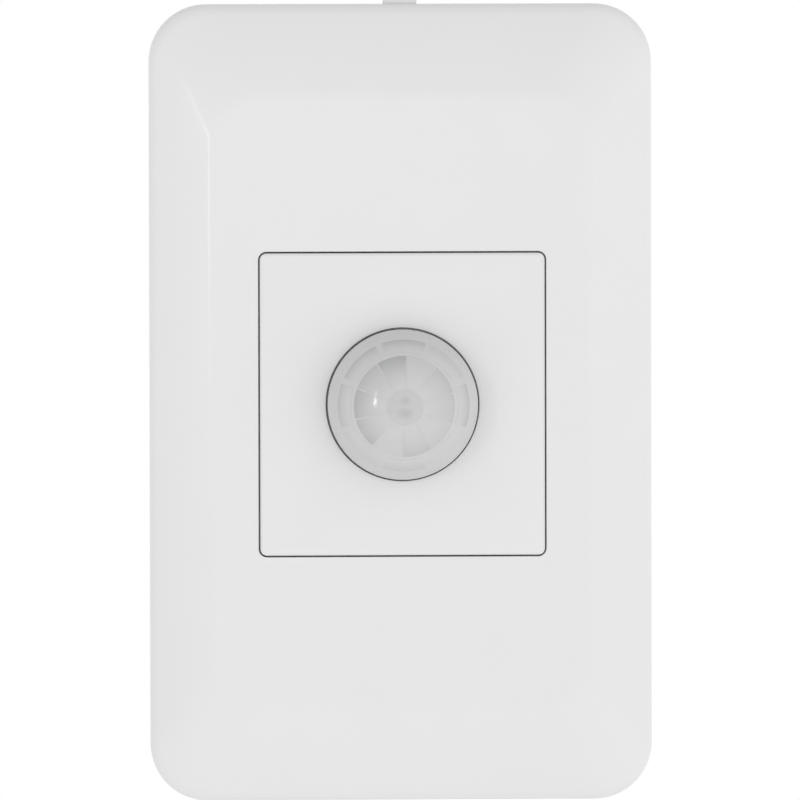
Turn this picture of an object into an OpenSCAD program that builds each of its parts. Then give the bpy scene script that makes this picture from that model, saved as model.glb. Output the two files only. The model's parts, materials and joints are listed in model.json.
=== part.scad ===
// Motion sensor light switch: a wall plate over a two-module insert with a dome lens.
// Lengths are in millimetres. X runs to the right, Z up the wall, and the front faces -Y.
// The back of the support frame lies on the wall plane, Y = 0, and the housing goes into the wall.

/* [Wall plate] */
// Width of the wall plate
plate_w = 75; // [72:0.5:84]
// Height of the wall plate
plate_h = 119; // [115:0.5:128]
// Distance from the wall to the plate's flat front
plate_depth = 9.2; // [7.8:0.1:10]
// Corner radius of the plate's outline
plate_corner_r = 8.6; // [6:0.1:11]
// Thickness of the plate's shell
plate_wall = 2; // [1.6:0.1:2.3]
// Straight part of the rim next to the wall
rim_h = 2.6; // [2.6:0.1:3.4]
// Radius of the rounded edge above the rim
rim_r = 2.6; // [2.2:0.1:3]
// Width of the flat front field
field_w = 54.6; // [52:0.1:58]
// Height of the flat front field
field_h = 89; // [87:0.5:96]
// Corner radius of the flat front field
field_corner_r = 7; // [5:0.1:9]
// Radius of the rounded shoulder next to the flat front field
shoulder_r = 4; // [2.5:0.1:4.5]
// Angle by which the border's slope bulges at each of its ends, in degrees
border_bulge = 6; // [1:0.5:9]
// Depth of the collar round the opening
collar_h = 2.8; // [2.4:0.1:3.2]
// Thickness of the collar round the opening
collar_wall = 1.2; // [0.8:0.1:1.4]
// Radius of the pegs that hold the plate
peg_r = 1.8; // [1.5:0.1:2.2]
// Distance of the pegs from the middle, sideways
peg_x = 24; // [23.5:0.1:25]
// Distance of the pegs from the middle, up and down
peg_z = 41.3; // [40:0.1:43]
// How far the pegs end in front of the wall
peg_short = 0.5; // [0.3:0.1:0.8]
// Width of the slit that lets a peg spring
peg_slit = 0.7; // [0.5:0.1:0.9]
// Length of the slit that lets a peg spring
peg_slit_len = 3.9; // [3:0.1:4.2]

/* [Support frame] */
// Width of the support frame
frame_w = 60; // [58:0.5:63]
// Height of the support frame
frame_h = 103; // [100:0.5:106]
// Thickness of the support frame
frame_t = 2.4; // [2:0.1:2.8]
// Corner radius of the support frame
frame_corner_r = 5; // [3:0.1:7]
// Distance between the two wall box screws
screw_spacing = 83.5; // [80:0.1:86]
// Half width of a screw slot
screw_slot_r = 1.9; // [1.7:0.05:2.2]
// Length of a screw slot, end to end
screw_slot_len = 7; // [5:0.1:8]
// Wall round a peg's socket
socket_wall = 1.5; // [1.2:0.1:1.8]
// Thickness of the fence round the insert's flange
fence_t = 1.2; // [0.8:0.1:1.4]
// Depth of the seats that the latches hook into
latch_seat = 0.8; // [0.5:0.1:1]
// Width of the lug at the top of the frame
lug_w = 5; // [4:0.1:6]
// Thickness of the lug
lug_t = 1.8; // [1.4:0.1:2]
// How far the lug stands above the plate
lug_out = 1.4; // [0.8:0.1:2.5]

/* [Insert and lens] */
// Width of the insert
insert_w = 42.4; // [41:0.1:44]
// Height of the insert
insert_h = 45; // [43.5:0.1:46.5]
// Corner radius of the insert
insert_corner_r = 1; // [0.6:0.1:1.6]
// How far the insert stands in front of the plate
insert_proud = 0.45; // [0:0.05:0.6]
// Bevel round the insert's front edge
insert_bevel = 0.35; // [0.2:0.05:0.5]
// Thickness of the insert's front and sides
bezel_wall = 1.8; // [1.5:0.1:2]
// How far the insert's flange stands out at the sides
flange_lip = 1.6; // [1.3:0.1:2]
// Thickness of the insert's flange
flange_t = 1.4; // [1:0.1:1.5]
// Radius of the lens where it passes the insert
lens_r = 11.2; // [10:0.1:12]
// How far the dome stands in front of the insert
lens_rise = 9.6; // [8:0.1:11]
// Straight band at the foot of the dome
lens_band = 1.6; // [1:0.1:2.4]
// Thickness of the lens
lens_wall = 0.7; // [0.5:0.05:0.9]
// How far the lens flange stands out behind the insert
lens_lip = 1.5; // [1.2:0.1:1.8]
// Thickness of the lens flange
lens_flange_t = 1.1; // [0.8:0.1:1.2]
// Thickness of the ring behind the lens flange
ring_t = 1.2; // [0.8:0.1:1.4]
// Wall of the seat that the lens ring snaps into
ring_seat_wall = 1.2; // [1:0.1:1.4]

/* [Circuit boards] */
// Thickness of both boards
board_t = 1.6; // [1.2:0.1:1.8]
// Distance from the wall plane forward to the sensor board's face
sensor_board_front = 0.8; // [0.5:0.1:1.2]
// Space between the two boards
board_space = 8.4; // [7.5:0.1:10]
// Gap between a board and the housing
board_gap = 0.5; // [0.4:0.1:0.8]
// Radius of the posts that carry the sensor board
post_r = 1.9; // [1.7:0.05:2.1]
// Radius of the board screws
board_screw_r = 0.8; // [0.7:0.05:0.9]
// Head radius of the board screws
board_screw_head_r = 1.7; // [1.5:0.05:2]
// Head height of the board screws
board_screw_head_h = 1.2; // [1:0.1:1.5]
// Radius of the infrared sensor's can
can_r = 4.1; // [3.8:0.05:4.4]
// Height of the infrared sensor's can
can_h = 4.2; // [3.8:0.1:4.6]
// Thickness of the can's sheet metal
can_wall = 0.3; // [0.25:0.05:0.4]
// Width of the can's window
window_w = 4; // [3.4:0.1:4.4]
// Height of the can's window
window_h = 3; // [2.6:0.1:3.4]
// Radius of the photocell
photocell_r = 2.5; // [2.2:0.1:2.6]
// Thickness of the photocell
photocell_t = 2; // [1.6:0.1:2.4]
// Direction from the infrared sensor to the photocell, in degrees
photocell_angle = 36; // [30:1:60]
// Width and depth of the photocell's grooves
groove = 0.3; // [0.2:0.05:0.4]
// Distance between the photocell's grooves
groove_pitch = 0.7; // [0.6:0.05:0.8]
// Length of the photocell's grooves
groove_len = 2.6; // [2:0.1:3]
// Thickness of the infrared sensor's header
header_t = 0.6; // [0.4:0.1:0.8]
// How far the header stands out round the can
header_rim = 0.5; // [0.3:0.1:0.7]
// Thickness of the can's window pane
window_t = 0.5; // [0.4:0.1:0.7]
// How much wider the window pane is than the window
window_sill = 0.6; // [0.4:0.1:0.8]
// Radius of the circle of the infrared sensor's legs
pir_leg_circle = 2.54; // [2.2:0.02:2.8]
// Distance between the photocell's legs
photocell_leg_pitch = 2.54; // [2.2:0.02:3.4]
// Length of the sensor board's chip
chip_w = 9.9; // [8:0.1:10.5]
// Width of the chip
chip_h = 3.9; // [3.5:0.1:4.5]
// Height of the chip
chip_t = 1.4; // [1.1:0.1:1.7]
// How far the chip sits below the board's middle
chip_drop = 9; // [8:0.1:10]
// Distance between the chip's leads
lead_pitch = 1.27; // [1:0.01:1.3]
// Width of a chip lead
lead_w = 0.42; // [0.3:0.02:0.5]
// Thickness of a chip lead
lead_t = 0.25; // [0.2:0.05:0.3]
// How far the chip's leads stand out
lead_reach = 1; // [0.8:0.1:1.4]
// Distance between the pins that join the boards
link_pitch = 2.54; // [2.3:0.02:2.6]
// Width of the strip that joins the boards
link_w = 2.5; // [2.2:0.1:2.8]
// Distance of the strip's middle from the board's edge
link_edge = 2; // [1.6:0.1:2.6]
// Length of the board screws in the posts
board_thread = 3.5; // [3:0.1:3.9]
// Radius of the thin wire legs
leg_r = 0.3; // [0.25:0.05:0.35]
// How far a leg stands out of its board
leg_tail = 1.2; // [0.8:0.1:1.6]
// Gap between neighbouring components
part_gap = 0.8; // [0.6:0.05:0.85]

/* [Housing] */
// Thickness of the housing's walls
housing_wall = 1.8; // [1.5:0.1:2]
// How far the housing's sides sit inside the insert's outline
housing_inset = 0.4; // [0.3:0.05:0.6]
// Radius of the housing's corner columns
column_r = 2.4; // [2.2:0.1:2.5]
// Radius of the housing screws
housing_screw_r = 1; // [0.9:0.05:1.1]
// Head radius of the housing screws
housing_head_r = 1.9; // [1.7:0.05:2]
// Head height of the housing screws
housing_head_h = 1.5; // [1.2:0.1:1.8]
// Length of thread in the insert
housing_thread = 3; // [2.4:0.1:3.2]
// Corner radius of the housing
housing_corner_r = 1; // [0.6:0.1:1.6]
// Wall between a column and the housing's outside
column_edge = 0.8; // [0.6:0.1:1]
// How far the housing screws sit below the rear face
screw_sink = 0.3; // [0.2:0.1:0.6]
// Width of a latch tongue
latch_w = 12; // [9:0.5:15]
// How far a latch hooks behind the frame
latch_grip = 1; // [0.7:0.1:1.2]
// Length of a latch's ramp
latch_ramp = 3; // [2.4:0.1:4]
// Width of the slits beside a latch tongue
latch_slit = 0.8; // [0.6:0.1:1.2]
// How far the slits run behind the wall plane
latch_len = 11; // [9:0.5:13]

/* [Relay and other components] */
// Length of the relay
relay_w = 18.6; // [18:0.1:19]
// Width of the relay
relay_d = 15.2; // [14:0.1:15.6]
// Height of the relay
relay_h = 15.4; // [15:0.1:17]
// Thickness of the relay's cover
relay_wall = 0.9; // [0.7:0.1:1]
// Thickness of the relay's iron parts
iron_t = 1; // [0.8:0.1:1.1]
// Angle by which the armature stands open
armature_open = 4; // [3:0.5:5]
// Radius of the relay's winding
coil_r = 4.2; // [3.8:0.1:4.4]
// Radius of the relay's core
core_r = 1.8; // [1.5:0.1:2]
// Width of the relay's yoke and armature
iron_w = 7.2; // [6:0.1:8]
// Thickness of the relay's foot
relay_base_t = 1.4; // [1.1:0.1:1.7]
// Gap between the yoke and the relay's cover
yoke_gap = 1.6; // [1.3:0.1:1.8]
// Room above the pole for the armature's swing
armature_room = 4.2; // [4:0.1:4.6]
// Gap that is left when the armature is closed
air_gap = 0.15; // [0.1:0.05:0.2]
// How far the spool's ends stand out round the winding
spool_edge = 0.4; // [0.3:0.1:0.6]
// Thickness of the spool's ends
spool_flange_t = 0.8; // [0.6:0.1:1]
// Wall of the spool's tube
spool_wall = 0.7; // [0.5:0.1:0.8]
// How far the winding stands out round the pole's head
pole_edge = 1.2; // [1:0.1:1.4]
// Thickness of the pole's head
pole_head_t = 0.6; // [0.5:0.1:0.8]
// How far the armature reaches past the pole
armature_edge = 0.8; // [0.6:0.1:1]
// Thickness of the contact leaf
leaf_t = 0.3; // [0.2:0.05:0.4]
// Width of the contact leaf
leaf_w = 4; // [3.4:0.1:4.6]
// How far the leaf reaches past its contact
leaf_edge = 0.4; // [0.3:0.1:0.5]
// How far the leaf reaches past the pole's middle
leaf_grip = 2; // [1.5:0.1:2.5]
// Radius of a contact
contact_r = 0.9; // [0.8:0.05:1]
// Thickness of a contact
contact_t = 0.7; // [0.5:0.05:0.8]
// Distance from the spool to the contacts
contact_space = 2.2; // [2:0.1:2.4]
// Thickness of the fixed contact's post
post_t = 0.6; // [0.5:0.1:0.8]
// Distance of the coil's pins from the winding's middle, along the relay
coil_pin_u = 2.5; // [2.2:0.1:2.8]
// Distance of the coil's pins from the relay's middle, sideways
coil_pin_z = 5.2; // [5:0.1:5.6]
// Length of the film capacitor
film_w = 12.6; // [10:0.1:12.8]
// Width of the film capacitor
film_d = 6; // [5:0.1:6.5]
// Height of the film capacitor
film_h = 11.5; // [10:0.1:14]
// Distance of the film capacitor's legs from its ends
film_leg_edge = 1.3; // [1:0.1:1.8]
// Radius of the smoothing capacitor
smoothing_r = 3.6; // [3:0.1:3.7]
// Height of the smoothing capacitor
smoothing_h = 11; // [9:0.1:14]
// Distance between the smoothing capacitor's legs
smoothing_leg_pitch = 2.5; // [2:0.1:3.5]
// Depth of the groove round the smoothing capacitor's foot
crimp = 0.25; // [0.2:0.05:0.35]
// Height of the groove round the smoothing capacitor's foot
crimp_height = 1.6; // [1.2:0.1:2]
// Radius of the varistor disc
varistor_r = 3.4; // [3:0.1:3.8]
// Thickness of the varistor disc
varistor_t = 3; // [2.4:0.1:3.4]
// Distance between the varistor's legs
varistor_leg_pitch = 4; // [3:0.1:5]
// Radius of the fusible resistor
resistor_r = 1.5; // [1.2:0.1:1.8]
// Length of the fusible resistor
resistor_len = 8; // [6:0.1:8.4]
// How far the resistor's legs stand out before they turn down
resistor_leg_gap = 1.2; // [0.9:0.1:1.3]

/* [Adjusters] */
// Width of a trimmer's square body
trimmer_w = 6.6; // [6:0.1:7]
// Height of a trimmer's body
trimmer_h = 4; // [3.5:0.1:5]
// Distance of the dials from the middle
dial_x = 8.2; // [7:0.1:9]
// Distance of the trimmers from the housing's top wall
dial_edge = 2.2; // [1.8:0.1:2.4]
// Depth of the socket for a dial's stem
socket_depth = 2.5; // [2:0.1:2.8]
// Radius of a dial's stem
dial_stem_r = 1.5; // [1.2:0.1:1.8]
// Radius of a dial's head
dial_head_r = 2.6; // [2.2:0.1:3]
// Width of the screwdriver slot in a dial
dial_slot = 0.8; // [0.6:0.1:1]
// Depth of the screwdriver slot in a dial
dial_slot_depth = 1.2; // [0.9:0.1:1.5]
// Distance from the end of the slot to the dial's edge
dial_slot_edge = 0.65; // [0.5:0.05:0.8]
// Length of the bar that marks a dial's setting
dial_mark_len = 1.9; // [1.6:0.1:2.2]
// Depth of the bar that marks a dial's setting
dial_mark_depth = 0.6; // [0.4:0.1:0.8]
// How far a dial's head reaches in front of the rear wall
dial_hold = 0.8; // [0.6:0.1:1]
// How far a dial sits below the rear face
dial_sink = 0.3; // [0.2:0.1:0.5]

/* [Terminals] */
// Distance between neighbouring terminals
pole_pitch = 8.6; // [8.4:0.1:8.8]
// Wall between the terminal chambers
pole_wall = 1.6; // [1.4:0.1:1.8]
// Wall above and below the terminal chambers
block_wall = 1.4; // [1.2:0.1:1.6]
// Length of a clamp cage along the wire
cage_len = 5.6; // [5:0.1:6]
// Sheet thickness of a cage's sides
cage_side = 0.8; // [0.6:0.1:0.9]
// Thickness of a cage's two bars
cage_bar = 1.5; // [1.2:0.1:1.7]
// Room for the wire when the clamp is open
wire_gap = 3.5; // [3.4:0.1:4]
// Travel of a clamp cage
cage_travel = 3; // [2:0.25:3.25]
// Radius of a wire entry
wire_entry_r = 1.6; // [1.3:0.05:1.7]
// Width of a terminal bar's leg
bar_leg_w = 2.4; // [2:0.1:2.8]
// Thickness of a terminal bar
bar_t = 1; // [0.8:0.1:1.2]
// Radius of a terminal screw's thread
terminal_screw_r = 1.4; // [1.2:0.05:1.5]
// Radius of a terminal screw's head
terminal_head_r = 2.2; // [2:0.05:2.4]
// Height of a terminal screw's head
terminal_head_h = 1.8; // [1.4:0.1:2]
// How far a terminal screw's head sits below the rear face
head_sink = 0.8; // [0.5:0.1:1.2]
// Thickness of the shoulder under a terminal screw's head
shoulder_t = 1.6; // [1.3:0.1:2]

/* [Clearances] */
// Visible gap between the plate and the insert
insert_gap = 0.25; // [0.2:0.05:0.5]
// Gap round the lens
lens_gap = 0.25; // [0.2:0.05:0.5]
// Gap between pieces that pass each other
slip = 0.3; // [0.25:0.05:0.4]
// Gap between pieces that are pushed together by hand
snug = 0.1; // [0.06:0.02:0.14]
// Gap of a turning fit, on the radius
running = 0.06; // [0.04:0.01:0.08]

/* [Hidden] */
POLES = ["live", "neutral", "load"];
$fn = 64;

// Colours
white = "whitesmoke";
milky = "gainsboro";
grey_plastic = "lightgrey";
board_green = "seagreen";
black_plastic = "#303034";
steel = "silver";
brass = "goldenrod";
copper = "peru";
cream = "oldlace";

// Fineness of the plate's corners and of each arc of its border, in steps
corner_steps = 10;
arc_steps = 5;
// Steps along the slope between the border's two arcs
slope_steps = 5;
// Overlap that keeps cuts clean
eps = 0.01;
// Recess of a screw head, as shares of the head's radius and height
recess_w_share = 0.36;
recess_len_share = 1.3;
recess_depth_share = 0.55;

// Depths in front of the wall
plate_front = -plate_depth;
plate_ceiling = plate_front + plate_wall;
insert_front = plate_front - insert_proud;
bezel_back = insert_front + bezel_wall;
frame_front = -frame_t;
flange_front = frame_front - flange_t;
lens_flange_back = bezel_back + lens_flange_t;
board_front = -sensor_board_front;

// Depths behind the wall
board_back = board_front + board_t;
power_front = board_back + board_space;
power_back = power_front + board_t;

// Terminals, from the rear face inwards
tallest_component = max(relay_h, film_h, smoothing_h);
terminal_stack = head_sink + terminal_head_h + shoulder_t + cage_travel + 2 * cage_bar
    + wire_gap + bar_t + 4 * slip;
housing_inner_back = power_back + max(tallest_component + 2 * slip, terminal_stack - housing_wall);
housing_back = housing_inner_back + housing_wall;
head_seat = housing_back - head_sink - terminal_head_h;
chamber_back = head_seat - shoulder_t;
cage_back = chamber_back - slip - cage_travel;
nut_front = cage_back - cage_bar;
screw_tip = nut_front - slip;
bar_back = screw_tip - slip;
bar_front = bar_back - bar_t;
wire_y = bar_front - wire_gap / 2;
clamp_face = bar_front - wire_gap;
cage_front = clamp_face - cage_bar;

// Widths and heights that follow the insert
opening_w = insert_w + 2 * insert_gap;
opening_h = insert_h + 2 * insert_gap;
flange_w = insert_w + 2 * flange_lip;
flange_h = insert_h + 2 * flange_lip;
housing_w = insert_w - 2 * housing_inset;
housing_h = insert_h - 2 * housing_inset;
room_w = housing_w - 2 * housing_wall;
room_h = housing_h - 2 * housing_wall;
board_w = room_w - 2 * board_gap;
board_h = room_h - 2 * board_gap;

// Lens and its seat
ring_seat_r = lens_r + lens_lip + slip;
post_z = ring_seat_r + ring_seat_wall + post_r - slip;
dome_foot = insert_front - lens_band;
dome_h = lens_rise - lens_band;
dome_r = (lens_r * lens_r + dome_h * dome_h) / (2 * dome_h);
dome_centre = dome_foot - dome_h + dome_r;
lens_bore_r = sqrt(pow(dome_r - lens_wall, 2) - pow(dome_r - dome_h, 2));

// Columns and screws that hold the housing to the insert
column_x = housing_w / 2 - column_r - column_edge;
column_z = housing_h / 2 - column_r - column_edge;
housing_head_seat = housing_back - screw_sink - housing_head_h;

// Terminal block
chamber_w = pole_pitch - pole_wall;
cage_w = chamber_w - 2 * slip;
bar_w = cage_w - 2 * cage_side - 2 * slip;
block_w = len(POLES) * pole_pitch + pole_wall;
block_h = 2 * block_wall + cage_len + bar_t + 3 * slip;
block_bottom = -room_h / 2;
block_top = block_bottom + block_h;
chamber_bottom = block_bottom + block_wall;
cage_z = chamber_bottom + slip + cage_len / 2;
bar_leg_z = cage_z + cage_len / 2 + slip;
function pole_x(i) = (i - (len(POLES) - 1) / 2) * pole_pitch;

// Places on the power board
relay_x = -room_w / 2 + part_gap + relay_w / 2;
relay_z = block_top + part_gap + relay_d / 2;
film_x = room_w / 2 - part_gap - film_w / 2;
film_z = block_top + part_gap + film_d / 2;
smoothing_x = room_w / 2 - part_gap - smoothing_r;
smoothing_z = film_z + film_d / 2 + part_gap + smoothing_r;
varistor_x = room_w / 2 - part_gap - varistor_r;
varistor_y = power_back + varistor_r + part_gap;
varistor_z = smoothing_z + smoothing_r + part_gap + varistor_t / 2;
dial_z = room_h / 2 - trimmer_w / 2 - dial_edge;
resistor_leg_z = resistor_len / 2 + resistor_leg_gap;
resistor_x = relay_x + relay_w / 2 + part_gap + resistor_r;
resistor_y = power_back + resistor_r + slip;
resistor_z = film_z + film_d / 2 + part_gap + leg_r + resistor_leg_z;

// Relay, measured from the middle of its foot
relay_inner_w = relay_w - 2 * relay_wall;
relay_inner_d = relay_d - 2 * relay_wall;
spool_half = coil_r + spool_edge;
spool_tube_r = core_r + spool_wall;
yoke_u = relay_inner_w / 2 - yoke_gap - iron_t / 2;
coil_u = yoke_u - iron_t / 2 - slip - spool_half;
contact_u = coil_u - spool_half - contact_space;
yoke_foot_top = relay_base_t + iron_t;
pole_face = relay_h - armature_room;
pole_head_r = coil_r - pole_edge;
spool_top = pole_face - pole_head_t;
hinge_v = pole_face - iron_t / 2;
armature_bottom = pole_face + air_gap;
armature_top = armature_bottom + iron_t;
relay_pin_places = [
    [coil_u - coil_pin_u, coil_pin_z],
    [coil_u - coil_pin_u, -coil_pin_z],
    [contact_u, 0],
    [yoke_u, 0]
];

// Places of the thin legs in the two boards
link_count = 4;
link_h = link_count * link_pitch;
link_x = board_w / 2 - link_edge;
link_z = film_z + leg_r + part_gap + link_h / 2;
link_places = [for (i = [0:link_count - 1]) [link_x, link_z + (i - (link_count - 1) / 2) * link_pitch]];
pir_places = [for (a = [45, 135, 225]) [pir_leg_circle * cos(a), pir_leg_circle * sin(a)]];
photocell_reach = can_r + header_rim + part_gap + photocell_r;
photocell_x = photocell_reach * cos(photocell_angle);
photocell_z = photocell_reach * sin(photocell_angle);
photocell_places = [for (s = [-1, 1]) [photocell_x, photocell_z + s * photocell_leg_pitch / 2]];
relay_places = [for (p = relay_pin_places) [relay_x + p[0], relay_z + p[1]]];
film_places = [for (s = [-1, 1]) [film_x + s * (film_w / 2 - film_leg_edge), film_z]];
smoothing_places = [for (s = [-1, 1]) [smoothing_x, smoothing_z + s * smoothing_leg_pitch / 2]];
varistor_places = [for (s = [-1, 1]) [varistor_x + s * varistor_leg_pitch / 2, varistor_z]];
resistor_places = [for (s = [-1, 1]) [resistor_x, resistor_z + s * resistor_leg_z]];

// Shapes shared by the pieces

// Extrudes a flat shape drawn in X and Z from depth y0 to depth y1
module between(y0, y1) {
    translate([0, y1, 0])
        rotate([90, 0, 0])
            linear_extrude(y1 - y0)
                children();
}

// A round bar along Y
module rod(x, z, r, y0, y1) {
    between(y0, y1)
        translate([x, z])
            circle(r);
}

// A box given by its middle in X and Z
module block(x, z, w, h, y0, y1) {
    translate([x - w / 2, y0, z - h / 2])
        cube([w, y1 - y0, h]);
}

// A flat rectangle with round corners
module round_rect(w, h, r) {
    square([w - 2 * r, h], center = true);
    square([w, h - 2 * r], center = true);
    for (sx = [-1, 1], sz = [-1, 1])
        translate([sx * (w / 2 - r), sz * (h / 2 - r)])
            circle(r);
}

// A flat ring
module ring(outer_r, inner_r) {
    difference() {
        circle(outer_r);
        circle(inner_r);
    }
}

// Repeats a shape at the four corners of a rectangle
module four_corners(x, z) {
    for (sx = [-1, 1], sz = [-1, 1])
        translate([sx * x, 0, sz * z])
            children();
}

// Thin wire legs at a list of places
module legs(places, y0, y1) {
    for (p = places)
        rod(p[0], p[1], leg_r, y0, y1);
}

// A screw along Y with its head towards the rear, and a cross or a slot in the head
module screw(r, head_r, head_h, tip, seat, cross) {
    top = seat + head_h;
    recess_len = cross ? head_r * recess_len_share : 2 * (head_r + eps);
    difference() {
        union() {
            rod(0, 0, r, tip, seat);
            rod(0, 0, head_r, seat, top);
        }
        for (a = cross ? [0, 90] : [0])
            rotate([0, a, 0])
                block(0, 0, recess_len, head_r * recess_w_share, top - head_h * recess_depth_share,
                    top + eps);
    }
}

// Wall plate

// Section of the side border: the rim's arc, a bulging slope, and the shoulder's arc.
// Each point says how far in from the outline it lies, and how high above the rim.
border_w = (plate_w - field_w) / 2;
border_h = plate_depth - rim_h;
slope_run = border_w - rim_r;
slope_drop = border_h - shoulder_r;
slope = asin((shoulder_r - rim_r) / norm([slope_run, slope_drop])) + atan2(slope_drop, slope_run);
function rim_point(a) = [rim_r * (1 - sin(a)), rim_r * cos(a)];
function shoulder_point(a) = [border_w - shoulder_r * sin(a), border_h - shoulder_r * (1 - cos(a))];
slope_foot = slope + border_bulge;
slope_top = slope - border_bulge;
foot_point = rim_point(slope_foot);
top_point = shoulder_point(slope_top);
slope_chord = top_point - foot_point;
foot_reach = (slope_chord[1] * cos(slope_top) - slope_chord[0] * sin(slope_top)) / sin(slope_foot - slope_top);
// The point in which the straight lines along the slope's two ends meet
bend_point = foot_point + foot_reach * [cos(slope_foot), sin(slope_foot)];
function slope_point(s) =
    (1 - s) * (1 - s) * foot_point + 2 * s * (1 - s) * bend_point + s * s * top_point;
border_section = concat(
    [for (i = [0:arc_steps]) rim_point(90 + (slope_foot - 90) * i / arc_steps)],
    [for (i = [1:slope_steps - 1]) slope_point(i / slope_steps)],
    [for (i = [0:arc_steps]) shoulder_point(slope_top * (1 - i / arc_steps))]
);

// One ring of points: a rectangle of half sizes a and b with corner radius r, at depth y
function plate_ring(a, b, r, y) = [
    for (q = [0:3], i = [0:corner_steps])
        let (angle = 90 * (q + i / corner_steps))
        let (sx = q == 0 || q == 3 ? 1 : -1)
        let (sz = q < 2 ? 1 : -1)
        [sx * (a - r) + r * cos(angle), y, sz * (b - r) + r * sin(angle)]
];

// The border's ring at a point of the section, moved in by a wall of thickness t.
// The borders above and below the field are wider, and take the same shares of their width.
function border_ring(point, t) =
    let (left = 1 - point[0] / border_w)
    let (a = field_w / 2 + left * (plate_w - field_w) / 2 - t)
    let (b = field_h / 2 + left * (plate_h - field_h) / 2 - t)
    let (r = field_corner_r + left * (plate_corner_r - field_corner_r) - t)
    let (y = -rim_h - point[1] + t)
    plate_ring(a, b, r, y);

// A ring that runs along the opening, grown by g
function opening_ring(g, y) =
    plate_ring(opening_w / 2 + g, opening_h / 2 + g, insert_corner_r + insert_gap + g, y);

// The section of the shell, from the rim over the front and back along the inside
plate_rings = concat(
    [plate_ring(plate_w / 2, plate_h / 2, plate_corner_r, 0)],
    [for (point = border_section) border_ring(point, 0)],
    [opening_ring(insert_bevel, plate_front)],
    [opening_ring(0, plate_front + insert_bevel)],
    [opening_ring(0, plate_front + collar_h)],
    [opening_ring(collar_wall, plate_front + collar_h)],
    [opening_ring(collar_wall, plate_ceiling)],
    [for (i = [len(border_section) - 1:-2:0]) border_ring(border_section[i], plate_wall)],
    [plate_ring(plate_w / 2 - plate_wall, plate_h / 2 - plate_wall, plate_corner_r - plate_wall, 0)]
);

// Joins each ring to the next and the last to the first
module ring_shell(rings) {
    n = len(rings[0]);
    count = len(rings);
    points = [for (ring_points = rings, p = ring_points) p];
    faces = [
        for (k = [0:count - 1], j = [0:n - 1])
            let (here = k * n)
            let (next = ((k + 1) % count) * n)
            let (j2 = (j + 1) % n)
            each [[here + j, next + j, next + j2], [here + j, next + j2, here + j2]]
    ];
    polyhedron(points, faces);
}

// The shell with its split pegs, and a notch in the top rim for the frame's lug
module wall_plate() {
    peg_tip = -peg_short;
    color(white)
        difference() {
            union() {
                ring_shell(plate_rings);
                four_corners(peg_x, peg_z)
                    rod(0, 0, peg_r, plate_ceiling - plate_wall / 2, peg_tip);
            }
            four_corners(peg_x, peg_z)
                block(0, 0, peg_slit, 2 * (peg_r + eps), peg_tip - peg_slit_len, peg_tip + eps);
            block(0, plate_h / 2, lug_w + 2 * slip, 2 * (plate_wall + rim_r), -lug_t - slip, eps);
        }
}

// Support frame
module screw_slot() {
    run = screw_slot_len / 2 - screw_slot_r;
    square([2 * screw_slot_r, 2 * run], center = true);
    for (s = [-1, 1])
        translate([0, s * run])
            circle(screw_slot_r);
}

module support_frame() {
    socket_r = peg_r + running;
    socket_front = plate_ceiling + part_gap;
    lug_foot = frame_h / 2 - frame_corner_r;
    lug_top = plate_h / 2 + lug_out;
    color(grey_plastic)
        difference() {
            union() {
                between(frame_front, 0)
                    round_rect(frame_w, frame_h, frame_corner_r);
                between(flange_front, frame_front)
                    round_rect(flange_w + 2 * slip + 2 * fence_t, flange_h + 2 * slip + 2 * fence_t,
                        insert_corner_r + flange_lip);
                four_corners(peg_x, peg_z)
                    rod(0, 0, socket_r + socket_wall, socket_front, frame_front);
                translate([-lug_w / 2, -lug_t, lug_foot])
                    cube([lug_w, lug_t, lug_top - lug_foot]);
            }
            between(flange_front - eps, frame_front)
                square([flange_w + 2 * slip, flange_h + 2 * slip], center = true);
            between(frame_front - eps, eps)
                square([housing_w + 2 * slip, housing_h + 2 * slip], center = true);
            four_corners(peg_x, peg_z)
                rod(0, 0, socket_r, socket_front - eps, eps);
            for (s = [-1, 1])
                between(frame_front - eps, eps)
                    translate([0, s * screw_spacing / 2])
                        screw_slot();
            block(0, 0, housing_w + 2 * latch_grip + 4 * slip, latch_w + 2 * slip, -latch_seat, eps);
        }
}

// Insert, lens and lens ring

// Section of a bar of width w with bevelled front edges
function bevel_section(w) = [
    [-w / 2, frame_front],
    [-w / 2, insert_front + insert_bevel],
    [-w / 2 + insert_bevel, insert_front],
    [w / 2 - insert_bevel, insert_front],
    [w / 2, insert_front + insert_bevel],
    [w / 2, frame_front]
];

module insert_block() {
    intersection() {
        between(insert_front, frame_front)
            round_rect(insert_w, insert_h, insert_corner_r);
        translate([0, 0, -insert_h])
            linear_extrude(2 * insert_h)
                polygon(bevel_section(insert_w));
        rotate([0, 90, 0])
            translate([0, 0, -insert_w])
                linear_extrude(2 * insert_w)
                    polygon(bevel_section(insert_h));
    }
}

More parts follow.
